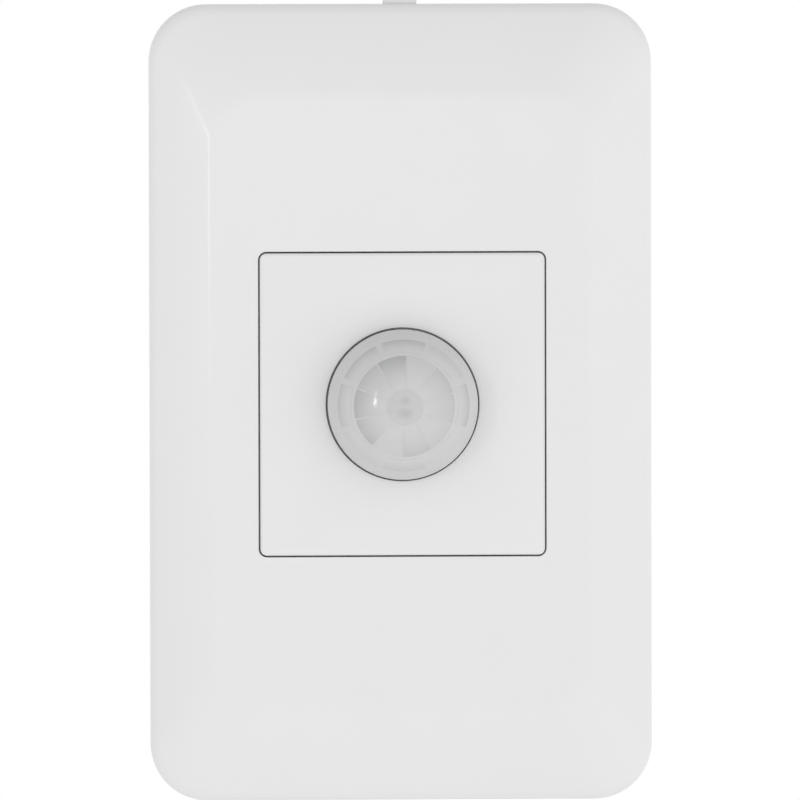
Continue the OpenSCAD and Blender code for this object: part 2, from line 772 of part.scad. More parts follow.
module sensor_bezel() {
    inner_w = insert_w - 2 * bezel_wall;
    inner_h = insert_h - 2 * bezel_wall;
    color(white)
        difference() {
            union() {
                difference() {
                    union() {
                        insert_block();
                        between(flange_front, frame_front)
                            round_rect(flange_w, flange_h, insert_corner_r + flange_lip);
                    }
                    between(bezel_back, frame_front + eps)
                        square([inner_w, inner_h], center = true);
                }
                between(bezel_back - eps, lens_flange_back + ring_t)
                    ring(ring_seat_r + ring_seat_wall, ring_seat_r);
                four_corners(column_x, column_z)
                    rod(0, 0, column_r, bezel_back - eps, frame_front);
                for (s = [-1, 1])
                    rod(0, s * post_z, post_r, bezel_back - eps, board_front);
            }
            rod(0, 0, lens_r + lens_gap, insert_front - eps, bezel_back + eps);
            four_corners(column_x, column_z)
                rod(0, 0, housing_screw_r + running, frame_front - housing_thread - slip, frame_front + eps);
            for (s = [-1, 1])
                rod(0, s * post_z, board_screw_r + running, board_front - board_thread - slip,
                    board_front + eps);
        }
}

// Half of the lens in section, with the height pointing forward
module lens_section() {
    foot = -dome_foot;
    difference() {
        union() {
            intersection() {
                translate([0, -dome_centre])
                    circle(dome_r);
                translate([0, foot])
                    square([2 * lens_r, 2 * dome_h]);
            }
            translate([0, -bezel_back])
                square([lens_r, bezel_back - dome_foot]);
            translate([0, -lens_flange_back])
                square([lens_r + lens_lip, lens_flange_t]);
        }
        intersection() {
            translate([0, -dome_centre])
                circle(dome_r - lens_wall);
            translate([0, foot])
                square([2 * lens_r, 2 * dome_h]);
        }
        translate([0, -lens_flange_back - eps])
            square([lens_bore_r, lens_flange_back - dome_foot + 2 * eps]);
    }
}

module fresnel_lens() {
    color(milky)
        rotate([90, 0, 0])
            rotate_extrude()
                lens_section();
}

module lens_ring() {
    color(black_plastic)
        between(lens_flange_back, lens_flange_back + ring_t)
            ring(ring_seat_r - snug, lens_bore_r);
}

// Circuit boards and what is on the sensor board

// Board outline, cut away at the housing's columns
module board_outline() {
    cut_x = column_x - column_r - board_gap;
    cut_z = column_z - column_r - board_gap;
    square([board_w, 2 * cut_z], center = true);
    square([2 * cut_x, board_h], center = true);
}

module leg_holes(places) {
    for (p = places)
        translate(p)
            circle(leg_r + snug);
}

module sensor_board() {
    color(board_green)
        between(board_front, board_back)
            difference() {
                board_outline();
                leg_holes(concat(pir_places, photocell_places, link_places));
                for (s = [-1, 1])
                    translate([0, s * post_z])
                        circle(board_screw_r + snug);
            }
}

module board_screws() {
    color(steel)
        for (s = [-1, 1])
            translate([0, 0, s * post_z])
                screw(board_screw_r, board_screw_head_r, board_screw_head_h,
                    board_front - board_thread, board_back, true);
}

module pir_header() {
    color(steel)
        between(board_front - header_t, board_front)
            difference() {
                circle(can_r + header_rim);
                leg_holes(pir_places);
            }
}

module pir_can() {
    can_front = board_front - can_h;
    color(steel)
        difference() {
            rod(0, 0, can_r, can_front, board_front - header_t);
            rod(0, 0, can_r - can_wall, can_front + can_wall, board_front);
            block(0, 0, window_w + 2 * running, window_h + 2 * running, can_front - eps, board_front);
        }
}

module pir_window() {
    can_front = board_front - can_h;
    color(black_plastic) {
        block(0, 0, window_w, window_h, can_front, can_front + can_wall);
        block(0, 0, window_w + window_sill, window_h + window_sill, can_front + can_wall,
            can_front + can_wall + window_t);
    }
}

module pir_legs() {
    color(steel)
        legs(pir_places, board_front - header_t, board_back + leg_tail);
}

module photocell() {
    face = board_front - photocell_t;
    color(cream)
        difference() {
            rod(photocell_x, photocell_z, photocell_r, face, board_front);
            for (i = [-2:2])
                block(photocell_x, photocell_z + i * groove_pitch, groove_len, groove, face - eps,
                    face + groove);
        }
}

module photocell_legs() {
    color(steel)
        legs(photocell_places, board_front, board_back + leg_tail);
}

module sensor_chip() {
    lead_count = 7;
    color(black_plastic) {
        block(0, -chip_drop, chip_w, chip_h, board_back + lead_t, board_back + chip_t);
        for (i = [0:lead_count - 1])
            block((i - (lead_count - 1) / 2) * lead_pitch, -chip_drop, lead_w, chip_h + 2 * lead_reach,
                board_back, board_back + lead_t + eps);
    }
}

module board_link() {
    color(black_plastic)
        between(board_back, power_front)
            difference() {
                translate([link_x, link_z])
                    square([link_w, link_h], center = true);
                leg_holes(link_places);
            }
}

module link_pins() {
    color(brass)
        legs(link_places, board_front - leg_tail, power_back);
}

// Power board and its components
module power_board() {
    color(board_green)
        between(power_front, power_back)
            difference() {
                board_outline();
                leg_holes(concat(relay_places, link_places, film_places, smoothing_places,
                    varistor_places, resistor_places));
                for (i = [0:len(POLES) - 1])
                    translate([pole_x(i), bar_leg_z + bar_t / 2])
                        square([bar_leg_w + 2 * snug, bar_t + 2 * snug], center = true);
            }
}

// Moves a relay piece from the middle of its foot to its place on the board
module at_relay() {
    translate([relay_x, power_back, relay_z])
        children();
}

module relay_cover() {
    color("royalblue")
        at_relay()
            difference() {
                block(0, 0, relay_w, relay_d, 0, relay_h);
                block(0, 0, relay_inner_w, relay_inner_d, -eps, relay_h - relay_wall);
            }
}

module relay_base() {
    color(black_plastic)
        at_relay()
            between(0, relay_base_t)
                difference() {
                    square([relay_inner_w - 2 * snug, relay_inner_d - 2 * snug], center = true);
                    leg_holes(relay_pin_places);
                }
}

module relay_pins() {
    color(steel)
        legs(relay_places, power_front - leg_tail, power_back + relay_base_t);
}

// The yoke's upper end is round: the armature rolls on it
module relay_yoke() {
    foot_left = coil_u - spool_half;
    foot_right = yoke_u + iron_t / 2;
    color(steel)
        at_relay() {
            translate([foot_left, relay_base_t, -iron_w / 2])
                cube([foot_right - foot_left, iron_t, iron_w]);
            block(yoke_u, 0, iron_t, iron_w, relay_base_t, hinge_v);
            translate([yoke_u, hinge_v, -iron_w / 2])
                cylinder(r = iron_t / 2, h = iron_w);
        }
}

module relay_bobbin() {
    spool_size = 2 * spool_half;
    color(black_plastic)
        at_relay()
            difference() {
                union() {
                    block(coil_u, 0, spool_size, spool_size, yoke_foot_top, yoke_foot_top + spool_flange_t);
                    block(coil_u, 0, spool_size, spool_size, spool_top - spool_flange_t, spool_top);
                    rod(coil_u, 0, spool_tube_r, yoke_foot_top, spool_top);
                }
                rod(coil_u, 0, core_r + snug, yoke_foot_top - eps, spool_top + eps);
            }
}

module relay_coil() {
    color(copper)
        at_relay()
            between(yoke_foot_top + spool_flange_t, spool_top - spool_flange_t)
                translate([coil_u, 0])
                    ring(coil_r, spool_tube_r + snug);
}

module relay_core() {
    color(steel)
        at_relay() {
            rod(coil_u, 0, core_r, yoke_foot_top, spool_top);
            rod(coil_u, 0, pole_head_r, spool_top, pole_face);
        }
}

// Opens the armature about the round end of the yoke
module opened() {
    at_relay()
        translate([yoke_u, hinge_v, 0])
            rotate([0, 0, -armature_open])
                translate([-yoke_u, -hinge_v, 0])
                    children();
}

module relay_armature() {
    left = coil_u - pole_head_r - armature_edge;
    right = yoke_u + iron_t / 2;
    color(steel)
        opened()
            translate([left, armature_bottom, -iron_w / 2])
                cube([right - left, iron_t, iron_w]);
}

module relay_leaf() {
    left = contact_u - contact_r - leaf_edge;
    right = coil_u + leaf_grip;
    color(copper)
        opened() {
            translate([left, armature_top, -leaf_w / 2])
                cube([right - left, leaf_t, leaf_w]);
            rod(contact_u, 0, contact_r, armature_top - contact_t, armature_top);
        }
}

module relay_contact() {
    fixed_top = armature_top - contact_t - air_gap;
    color(copper)
        at_relay() {
            block(contact_u, 0, post_t, leaf_w, relay_base_t, fixed_top - contact_t);
            rod(contact_u, 0, contact_r, fixed_top - contact_t, fixed_top);
        }
}

module film_capacitor() {
    color("firebrick") {
        block(film_x, film_z, film_w, film_d, power_back, power_back + film_h);
        legs(film_places, power_front - leg_tail, power_back);
    }
}

module smoothing_capacitor() {
    color("midnightblue") {
        difference() {
            rod(smoothing_x, smoothing_z, smoothing_r, power_back, power_back + smoothing_h);
            translate([smoothing_x, power_back + crimp_height, smoothing_z])
                rotate([90, 0, 0])
                    rotate_extrude()
                        translate([smoothing_r + crimp, 0])
                            circle(2 * crimp);
        }
        legs(smoothing_places, power_front - leg_tail, power_back);
    }
}

module varistor() {
    color("steelblue") {
        translate([varistor_x, varistor_y, varistor_z - varistor_t / 2])
            cylinder(r = varistor_r, h = varistor_t);
        legs(varistor_places, power_front - leg_tail, varistor_y);
    }
}

module fusible_resistor() {
    color("darkkhaki") {
        translate([resistor_x, resistor_y, resistor_z - resistor_len / 2])
            cylinder(r = resistor_r, h = resistor_len);
        translate([resistor_x, resistor_y, resistor_z - resistor_leg_z])
            cylinder(r = leg_r, h = 2 * resistor_leg_z);
        for (p = resistor_places)
            translate([p[0], resistor_y, p[1]])
                sphere(leg_r);
        legs(resistor_places, power_front - leg_tail, resistor_y);
    }
}

// Adjusters
module trimmer(x) {
    top = power_back + trimmer_h;
    color(cream)
        difference() {
            block(x, dial_z, trimmer_w, trimmer_w, power_back, top);
            rod(x, dial_z, dial_stem_r + running, top - socket_depth, top + eps);
        }
}

module dial(x) {
    stem_foot = power_back + trimmer_h - socket_depth;
    head_foot = housing_inner_back - dial_hold;
    head_back = housing_back - dial_sink;
    color("darkorange")
        difference() {
            union() {
                rod(x, dial_z, dial_stem_r, stem_foot, head_foot);
                rod(x, dial_z, dial_head_r, head_foot, head_back);
            }
            block(x, dial_z, dial_slot, 2 * (dial_head_r - dial_slot_edge), head_back - dial_slot_depth,
                head_back + eps);
            block(x, dial_z + dial_head_r / 2, dial_mark_len, dial_slot, head_back - dial_mark_depth,
                head_back + eps);
        }
}

module time_trimmer() { trimmer(-dial_x); }
module lux_trimmer() { trimmer(dial_x); }
module time_dial() { dial(-dial_x); }
module lux_dial() { dial(dial_x); }

// Terminals
module terminal_block() {
    color(cream)
        difference() {
            translate([-block_w / 2, power_back, block_bottom])
                cube([block_w, housing_back - power_back, block_h]);
            for (i = [0:len(POLES) - 1])
                translate([pole_x(i), 0, 0]) {
                    translate([-chamber_w / 2, power_back - eps, chamber_bottom])
                        cube([chamber_w, chamber_back - power_back + eps, block_h - 2 * block_wall]);
                    rod(0, cage_z, terminal_screw_r + running, chamber_back - eps, head_seat + eps);
                    rod(0, cage_z, terminal_head_r + slip, head_seat, housing_back + eps);
                    translate([0, wire_y, block_bottom - eps])
                        cylinder(r = wire_entry_r, h = block_wall + 2 * eps);
                }
        }
}

module terminal_bars() {
    tongue_bottom = cage_z - cage_len / 2;
    color(brass)
        for (i = [0:len(POLES) - 1])
            translate([pole_x(i), 0, 0]) {
                translate([-bar_w / 2, bar_front, tongue_bottom])
                    cube([bar_w, bar_t, bar_leg_z + bar_t - tongue_bottom]);
                block(0, bar_leg_z + bar_t / 2, bar_leg_w, bar_t, power_front - leg_tail, bar_back);
            }
}

module terminal_screw(i) {
    color(steel)
        translate([pole_x(i), 0, cage_z])
            screw(terminal_screw_r, terminal_head_r, terminal_head_h, screw_tip, head_seat, false);
}

module clamp_cage(i) {
    color(brass)
        translate([pole_x(i), 0, cage_z])
            difference() {
                block(0, 0, cage_w, cage_len, cage_front, cage_back);
                block(0, 0, cage_w - 2 * cage_side, 2 * cage_len, clamp_face, nut_front);
                rod(0, 0, terminal_screw_r + running, nut_front - eps, cage_back + eps);
            }
}

// Housing
module latch_hook() {
    side = housing_w / 2;
    face = snug - latch_seat;
    translate([0, 0, -latch_w / 2])
        linear_extrude(latch_w)
            polygon([
                [side - housing_wall / 2, face],
                [side + slip + latch_grip, face],
                [side, face + latch_ramp],
                [side - housing_wall / 2, face + latch_ramp]
            ]);
}

module rear_housing() {
    color(grey_plastic)
        difference() {
            union() {
                difference() {
                    between(frame_front, housing_back)
                        round_rect(housing_w, housing_h, housing_corner_r);
                    between(frame_front - eps, housing_inner_back)
                        square([room_w, room_h], center = true);
                }
                four_corners(column_x, column_z)
                    rod(0, 0, column_r, frame_front, housing_back);
                latch_hook();
                mirror([1, 0, 0])
                    latch_hook();
            }
            for (s = [-1, 1])
                block(0, s * (latch_w + latch_slit) / 2, 2 * housing_w, latch_slit, frame_front - eps,
                    latch_len);
            four_corners(column_x, column_z) {
                rod(0, 0, housing_screw_r + slip, frame_front - eps, housing_back);
                rod(0, 0, housing_head_r + snug, housing_head_seat, housing_back + eps);
            }
            for (s = [-1, 1])
                rod(s * dial_x, dial_z, dial_head_r + running, housing_inner_back - eps, housing_back + eps);
            translate([-block_w / 2 - snug, housing_inner_back - eps, block_bottom])
                cube([block_w + 2 * snug, housing_wall + 2 * eps, block_h + snug]);
            for (i = [0:len(POLES) - 1])
                translate([pole_x(i), wire_y, -housing_h / 2 - eps])
                    cylinder(r = wire_entry_r, h = housing_wall + 2 * eps);
        }
}

module housing_screws() {
    color(steel)
        four_corners(column_x, column_z)
            screw(housing_screw_r, housing_head_r, housing_head_h,
                frame_front - housing_thread, housing_head_seat, true);
}

// The pieces in their places
wall_plate();
support_frame();
sensor_bezel();
fresnel_lens();
lens_ring();
sensor_board();
board_screws();
pir_header();
pir_can();
pir_window();
pir_legs();
photocell();
photocell_legs();
sensor_chip();
board_link();
link_pins();
power_board();
relay_base();
relay_cover();
relay_yoke();
relay_bobbin();
relay_coil();
relay_core();
relay_armature();
relay_leaf();
relay_contact();
relay_pins();
film_capacitor();
smoothing_capacitor();
varistor();
fusible_resistor();
time_trimmer();
time_dial();
lux_trimmer();
lux_dial();
terminal_block();
terminal_bars();
for (i = [0:len(POLES) - 1]) {
    terminal_screw(i);
    clamp_cage(i);
}
rear_housing();
housing_screws();
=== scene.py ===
import json
import math

import bmesh
import bpy
from mathutils import Matrix, Vector

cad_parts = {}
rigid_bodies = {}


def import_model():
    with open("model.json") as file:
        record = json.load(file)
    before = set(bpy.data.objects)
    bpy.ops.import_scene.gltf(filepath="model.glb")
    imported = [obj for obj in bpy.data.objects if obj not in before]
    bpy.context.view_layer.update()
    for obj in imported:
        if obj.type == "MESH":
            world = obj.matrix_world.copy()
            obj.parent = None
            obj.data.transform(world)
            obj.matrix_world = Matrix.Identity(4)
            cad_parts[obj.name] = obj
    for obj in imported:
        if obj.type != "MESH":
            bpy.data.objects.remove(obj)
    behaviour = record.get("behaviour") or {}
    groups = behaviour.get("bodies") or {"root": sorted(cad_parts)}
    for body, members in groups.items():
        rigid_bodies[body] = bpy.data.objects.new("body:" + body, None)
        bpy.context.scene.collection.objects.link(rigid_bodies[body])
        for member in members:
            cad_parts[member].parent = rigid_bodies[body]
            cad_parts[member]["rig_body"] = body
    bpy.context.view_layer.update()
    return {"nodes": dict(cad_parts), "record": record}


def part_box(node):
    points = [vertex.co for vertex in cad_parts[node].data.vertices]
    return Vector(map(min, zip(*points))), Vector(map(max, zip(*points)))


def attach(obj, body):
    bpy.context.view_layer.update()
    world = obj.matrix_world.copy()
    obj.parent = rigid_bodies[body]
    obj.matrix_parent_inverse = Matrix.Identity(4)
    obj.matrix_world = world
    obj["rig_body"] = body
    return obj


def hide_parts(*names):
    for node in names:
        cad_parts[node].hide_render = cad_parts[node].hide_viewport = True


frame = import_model()
scene = bpy.context.scene
scene.view_settings.view_transform = "Standard"

# All lengths are in metres
MM = 0.001
POLES = ("live", "neutral", "load")

# Wall plate: the sizes of its section that its box doesn't give
PLATE_CORNER_R = 8.6 * MM
PLATE_WALL = 2 * MM
RIM_H = 2.6 * MM
RIM_R = 2.6 * MM
FIELD_W = 54.6 * MM
FIELD_H = 89 * MM
FIELD_CORNER_R = 7 * MM
SHOULDER_R = 4 * MM
BORDER_BULGE = math.radians(6)
COLLAR_H = 2.8 * MM
COLLAR_WALL = 1.2 * MM
BACK_EDGE_R = 0.3 * MM
FLAT_EDGE = 0.3 * MM
PEG_R = 1.8 * MM
PEG_X = 24 * MM
PEG_Z = 41.3 * MM
PEG_TIP_Y = -0.5 * MM
PEG_SLIT = 0.7 * MM
PEG_SLIT_LEN = 3.9 * MM
PEG_CHAMFER = 0.5 * MM
LUG_W = 5 * MM
LUG_T = 1.8 * MM
SLIP = 0.3 * MM
# How far the lug's cutter passes the plate's back
NOTCH_PAST = 1 * MM

# Insert
INSERT_GAP = 0.25 * MM
INSERT_CORNER_R = 1 * MM
INSERT_EDGE_R = 0.1 * MM
INSERT_W = 42.4 * MM
INSERT_H = 45 * MM

# Lens
LENS_R = 11.2 * MM
LENS_RISE = 9.6 * MM
LENS_BAND = 1.6 * MM
LENS_WALL = 0.7 * MM
LENS_FLANGE_T = 1.1 * MM
FACET_T = 0.03 * MM
LENS_ROUGH = 0.1
# The middle disc: its radius and its painted shade. Then the size and strength of a faint random
# cloud.
LENS_DISC_R = 2.65 * MM
LENS_DISC_PAINTED_SHADE = 0.24
LENS_CLOUD = 2.2 * MM
LENS_CLOUD_DARK = 0.22
# A panel's painted shade grows with this power of the way from its inner to its outer edge
PANE_SHADE_POWER = 1.6
# Painted shade spots of the sensor's elements: height, half width, half height, and how dark
PAINTED_SENSOR_SPOTS = ((0.9 * MM, 1.1 * MM, 0.8 * MM, 0.38), (-0.95 * MM, 1.5 * MM, 1.1 * MM, 0.46))
# The rings of prism panels: their count, the radii between which they lie, the first one's angle,
# the share of the ring that they fill, and the range and seed of their painted shades
LENS_RINGS = (
    {"Count": 10, "Inner radius": 2.75 * MM, "Outer radius": 7.5 * MM,
     "Start": math.radians(105), "Share": 0.95, "Lightest": 0.05, "Darkest": 1.0, "Seed": 1332},
    {"Count": 8, "Inner radius": 8.0 * MM, "Outer radius": 9.8 * MM,
     "Start": math.radians(90), "Share": 0.86, "Lightest": 0.0, "Darkest": 0.8, "Seed": 2659},
)

# Printed marks round each dial
TICKS = 11
TICK_GAP = 1.1 * MM
TICK_LENGTH = 0.8 * MM
TICK_WIDTH = 0.25 * MM
TICK_T = 0.02 * MM
DIAL_SWEEP = math.radians(270)

# Fineness of round shapes, in steps
CORNER_STEPS = 18
ARC_STEPS = 10
SLOPE_STEPS = 12
TURN_STEPS = 96
DOME_STEPS = 28
PEG_STEPS = 32
PANEL_POINTS_ACROSS = 12
PANEL_POINTS_ALONG = 10
EDGE_STEPS = 2
# Faces that turn less than FLAT are one flat face, edges sharper than SHARP are drawn sharp,
# and edges sharper than ROUNDED are rounded
FLAT = math.radians(0.5)
SHARP = math.radians(35)
ROUNDED = math.radians(40)
# Points that are closer than this are one
MERGE = 0.001 * MM

# Radius of the rounded edges of the pieces that show
SOFTENED = {
    "support_frame": 0.3 * MM,
    "sensor_bezel": 0.08 * MM,
    "rear_housing": 0.3 * MM,
    "terminal_block": 0.2 * MM,
    "time_dial": 0.12 * MM,
    "lux_dial": 0.12 * MM,
    "housing_screws": 0.12 * MM,
    **{f"terminal_screw_{pole}": 0.12 * MM for pole in POLES},
}

# Surround: its level, how it leans to the right, front and down, and how its sides and ends differ
SKY_LEVEL = 1.092
SKY_LEAN = (0.16, -0.2, -0.32)
SKY_ENDS = (0.08, 0.0, -0.16)
# Floor: it glows for the camera, and its grey takes the shadow
FLOOR_Z = -0.45
FLOOR_R = 0.30
FLOOR_GREY = (0.35, 0.35, 0.35, 1)
FLOOR_GLOW = 0.8
# A tall strip of light that streaks the lens and the plate's left shoulder. It leans a little, and
# its ends are dimmer. Each part has a place, a width, a height and watts.
STRIP = {
    "left_strip_foot": ((-0.331, -0.3837, -0.0078), 0.035, 0.0275, 0.0106),
    "left_strip": ((-0.3253, -0.377, 0.0388), 0.035, 0.0655, 0.0718),
    "left_strip_top": ((-0.3162, -0.3663, 0.1135), 0.03, 0.09, 0.027),
}
STRIP_AIM = (0, -0.01, 0)
STRIP_LEAN = math.radians(-6)
# Camera: VIEW_W is the width that it sees at the point it aims at
SENSOR = 36.0
CAMERA_AWAY = 1.8
VIEW_W = 0.1195
CAMERA_AIM = (-0.00011, -0.0028, 0.00035)
CAMERA_AZ = math.radians(-2.3)
CAMERA_EL = math.radians(2.5)
CAMERA_ROLL = math.radians(-0.12)

# Sizes of the materials' patterns
MOTTLE = 9 * MM
THREAD = 0.754 * MM
THREAD_DEPTH = 0.01 * MM
WIRE = 0.2513 * MM
WIRE_DEPTH = 0.06 * MM
INK_BLOT = 0.3 * MM
# A wave texture of scale 1 repeats over this length
WAVE = math.pi / 10
# How far the roughness of a skin and of drawn lines varies, and how the lines are stretched
SKIN_SPREAD = 0.15
LINE_SPREAD = 0.3
LINE_STRETCH = (1.0, 0.08, 1.0)
# Refractive indexes, and the roughness of the plate's polish
PLASTIC_IOR = 1.5
POLYETHYLENE_IOR = 1.51
POLISH_ROUGH = 0.1

MATH = "ShaderNodeMath"
VECTOR = "ShaderNodeVectorMath"
NOISE = "ShaderNodeTexNoise"
STORE = "GeometryNodeStoreNamedAttribute"


def linear(hex_colour):
    """An sRGB hex value as linear red, green, blue and alpha."""
    shares = [int(hex_colour[i:i + 2], 16) / 255 for i in (0, 2, 4)]
    return [c / 12.92 if c <= 0.04045 else ((c + 0.055) / 1.055) ** 2.4 for c in shares] + [1]


def add(tree, kind, inputs=None, **settings):
    """Adds a node with its settings and links.
    Each input is a value, a socket, or a node whose first output feeds it."""
    node = tree.nodes.new(kind)
    for name, value in settings.items():
        setattr(node, name, value)
    for name, value in (inputs or {}).items():
        if isinstance(value, bpy.types.Node):
            value = value.outputs[0]
        if isinstance(value, bpy.types.NodeSocket):
            tree.links.new(value, node.inputs[name])
        else:
            node.inputs[name].default_value = value
    return node


# Materials

def empty_material(name):
    """A material with an empty tree."""
    material = bpy.data.materials.new(name)
    material.use_nodes = True
    material.node_tree.nodes.clear()
    return material, material.node_tree


def moulded(name, low, high, rough, grain, depth, polish=0.0):
    """Moulded plastic or a dipped coat: a grained skin over faint flow mottling.
    Polish adds a thin sharp reflection over it."""
    material, tree = empty_material(name)
    place = add(tree, "ShaderNodeTexCoord").outputs["Object"]
    flow = add(tree, NOISE, {"Vector": place, "Scale": 1 / MOTTLE, "Detail": 3.0}).outputs["Fac"]
    tone = add(tree, "ShaderNodeMix", {0: flow, 6: linear(low), 7: linear(high)}, data_type="RGBA")
    skin = add(tree, NOISE, {"Vector": place, "Scale": 1 / grain, "Detail": 2.0}).outputs["Fac"]
    spread = add(tree, "ShaderNodeMapRange", {
        "Value": skin, "To Min": rough * (1 - SKIN_SPREAD), "To Max": rough * (1 + SKIN_SPREAD)})
    shader = add(tree, "ShaderNodeBsdfPrincipled", {
        "Base Color": tone.outputs[2], "Roughness": spread, "IOR": PLASTIC_IOR,
        "Coat Weight": polish, "Coat Roughness": POLISH_ROUGH,
        "Normal": add(tree, "ShaderNodeBump", {"Height": skin, "Distance": depth})})
    add(tree, "ShaderNodeOutputMaterial", {"Surface": shader})
    return material


def bare_metal(name, low, high, rough, scratch, depth):
    """Worked metal: fine drawn lines along the part and a faint change of tone."""
    material, tree = empty_material(name)
    place = add(tree, "ShaderNodeTexCoord").outputs["Object"]
    drawn = add(tree, "ShaderNodeMapping", {"Vector": place, "Scale": LINE_STRETCH})
    lines = add(tree, NOISE, {"Vector": drawn, "Scale": 1 / scratch, "Detail": 3.0}).outputs["Fac"]
    tone = add(tree, "ShaderNodeMix", {0: lines, 6: linear(low), 7: linear(high)}, data_type="RGBA")
    spread = add(tree, "ShaderNodeMapRange", {
        "Value": lines, "To Min": rough * (1 - LINE_SPREAD), "To Max": rough * (1 + LINE_SPREAD)})
    shader = add(tree, "ShaderNodeBsdfPrincipled", {
        "Base Color": tone.outputs[2], "Roughness": spread, "Metallic": 1.0,
        "Normal": add(tree, "ShaderNodeBump", {"Height": lines, "Distance": depth})})
    add(tree, "ShaderNodeOutputMaterial", {"Surface": shader})
    return material


def milky_polyethylene():
    """Lens: milky polyethylene with a smooth glossy skin. The light that the prism panels inside it
    bend is painted as shade: panes that darken outwards, round a greyer disc, with painted dark
    spots where the sensor's two elements show through."""
    material, tree = empty_material("milky_polyethylene")
    place = add(tree, "ShaderNodeTexCoord").outputs["Object"]
    # tone and reach carry the panels' painted shade, which stands for the light that their prisms
    # bend
    tone = add(tree, "ShaderNodeAttribute", attribute_name="tone").outputs["Fac"]
    reach = add(tree, "ShaderNodeAttribute", attribute_name="reach").outputs["Fac"]
    outer = add(tree, MATH, {0: reach, 1: PANE_SHADE_POWER}, operation="POWER")
    painted_pane_shade = add(tree, MATH, {0: tone, 1: outer}, operation="MULTIPLY")
    cloud = add(tree, NOISE, {"Vector": place, "Scale": 1 / LENS_CLOUD, "Detail": 2.0})
    share = add(tree, MATH, {0: cloud.outputs["Fac"], 1: LENS_CLOUD_DARK, 2: painted_pane_shade},
                operation="MULTIPLY_ADD")
    # Painted shade over the middle disc
    disc = add(tree, "ShaderNodeMapping", {
        "Vector": place, "Scale": (1 / LENS_DISC_R, 0.0, 1 / LENS_DISC_R)})
    ball = add(tree, "ShaderNodeTexGradient", {"Vector": disc}, gradient_type="SPHERICAL")
    inside = add(tree, MATH, {0: ball.outputs["Fac"], 1: 0.0}, operation="GREATER_THAN")
    share = add(tree, MATH, {0: inside, 1: LENS_DISC_PAINTED_SHADE, 2: share}, operation="MULTIPLY_ADD")
    # Painted shade where the sensor's two elements show through
    for lift, half_w, half_h, dark in PAINTED_SENSOR_SPOTS:
        centred = add(tree, "ShaderNodeMapping", {
            "Vector": place, "Scale": (1 / half_w, 0.0, 1 / half_h),
            "Location": (0.0, 0.0, -lift / half_h)})
        painted_spot = add(tree, "ShaderNodeTexGradient", {"Vector": centred}, gradient_type="SPHERICAL")
        share = add(tree, MATH, {0: painted_spot.outputs["Fac"], 1: dark, 2: share},
                    operation="MULTIPLY_ADD")
    # From the milky colour towards the grey of the painted shade
    colour = add(tree, "ShaderNodeMix", {0: share, 6: linear("D2D2D2"), 7: linear("B0B1B1")},
                 data_type="RGBA")
    shader = add(tree, "ShaderNodeBsdfPrincipled", {
        "Base Color": colour.outputs[2], "Roughness": LENS_ROUGH, "IOR": POLYETHYLENE_IOR})
    add(tree, "ShaderNodeOutputMaterial", {"Surface": shader})
    return material


def glass_laminate():
    """Circuit board: green lacquer over woven glass, whose threads show as a fine square weave."""
    material, tree = empty_material("lacquered_glass_laminate")
    place = add(tree, "ShaderNodeTexCoord").outputs["Object"]
    across, along = [
        add(tree, "ShaderNodeTexWave", {"Vector": place, "Scale": WAVE / THREAD},
            bands_direction=way).outputs["Fac"] for way in "XZ"]
    weave = add(tree, MATH, {0: across, 1: along}, operation="MULTIPLY")
    tone = add(tree, "ShaderNodeMix", {0: weave, 6: linear("1F6A45"), 7: linear("2B7850")},
               data_type="RGBA")
    shader = add(tree, "ShaderNodeBsdfPrincipled", {
        "Base Color": tone.outputs[2], "Roughness": 0.34,
        "Normal": add(tree, "ShaderNodeBump", {"Height": weave, "Distance": THREAD_DEPTH})})
    add(tree, "ShaderNodeOutputMaterial", {"Surface": shader})
    return material


def wound_copper():
    """Winding: enamelled copper wire side by side, coarser than real so that its turns show."""
    material, tree = empty_material("enamelled_copper_wire")
    place = add(tree, "ShaderNodeTexCoord").outputs["Object"]
    turns = add(tree, "ShaderNodeTexWave", {"Vector": place, "Scale": WAVE / WIRE},
                bands_direction="Y").outputs["Fac"]
    tone = add(tree, "ShaderNodeMix", {0: turns, 6: linear("8E4B2A"), 7: linear("D58F63")},
               data_type="RGBA")
    shader = add(tree, "ShaderNodeBsdfPrincipled", {
        "Base Color": tone.outputs[2], "Metallic": 1.0, "Roughness": 0.3,
        "Normal": add(tree, "ShaderNodeBump", {"Height": turns, "Distance": WIRE_DEPTH})})
    add(tree, "ShaderNodeOutputMaterial", {"Surface": shader})
    return material


def printed_ink():
    """Pad-printed ink: thin, dull and slightly uneven."""
    material, tree = empty_material("pad_printed_ink")
    place = add(tree, "ShaderNodeTexCoord").outputs["Object"]
    blot = add(tree, NOISE, {"Vector": place, "Scale": 1 / INK_BLOT}).outputs["Fac"]
    tone = add(tree, "ShaderNodeMix", {0: blot, 6: linear("3A3C3E"), 7: linear("4A4C4E")},
               data_type="RGBA")
    shader = add(tree, "ShaderNodeBsdfPrincipled", {
        "Base Color": tone.outputs[2], "Roughness": 0.7})
    add(tree, "ShaderNodeOutputMaterial", {"Surface": shader})
    return material


# Each finish has a name, two close colours, a roughness, and its grain's size and depth

# Gloss ABS gives the plate a clean sheen with a faint orange-peel waviness
GLOSS_ABS = moulded("gloss_abs", "E7E7E7", "E9E9E9", 0.4, 1.8 * MM, 0.0012 * MM, polish=0.26)
# Satin ABS of the insert scatters more, from a fine spark-eroded mould grain
SATIN_ABS = moulded("satin_abs", "E7E7E7", "E9E9E9", 0.3, 0.35 * MM, 0.002 * MM)
MILKY = milky_polyethylene()
INK = printed_ink()
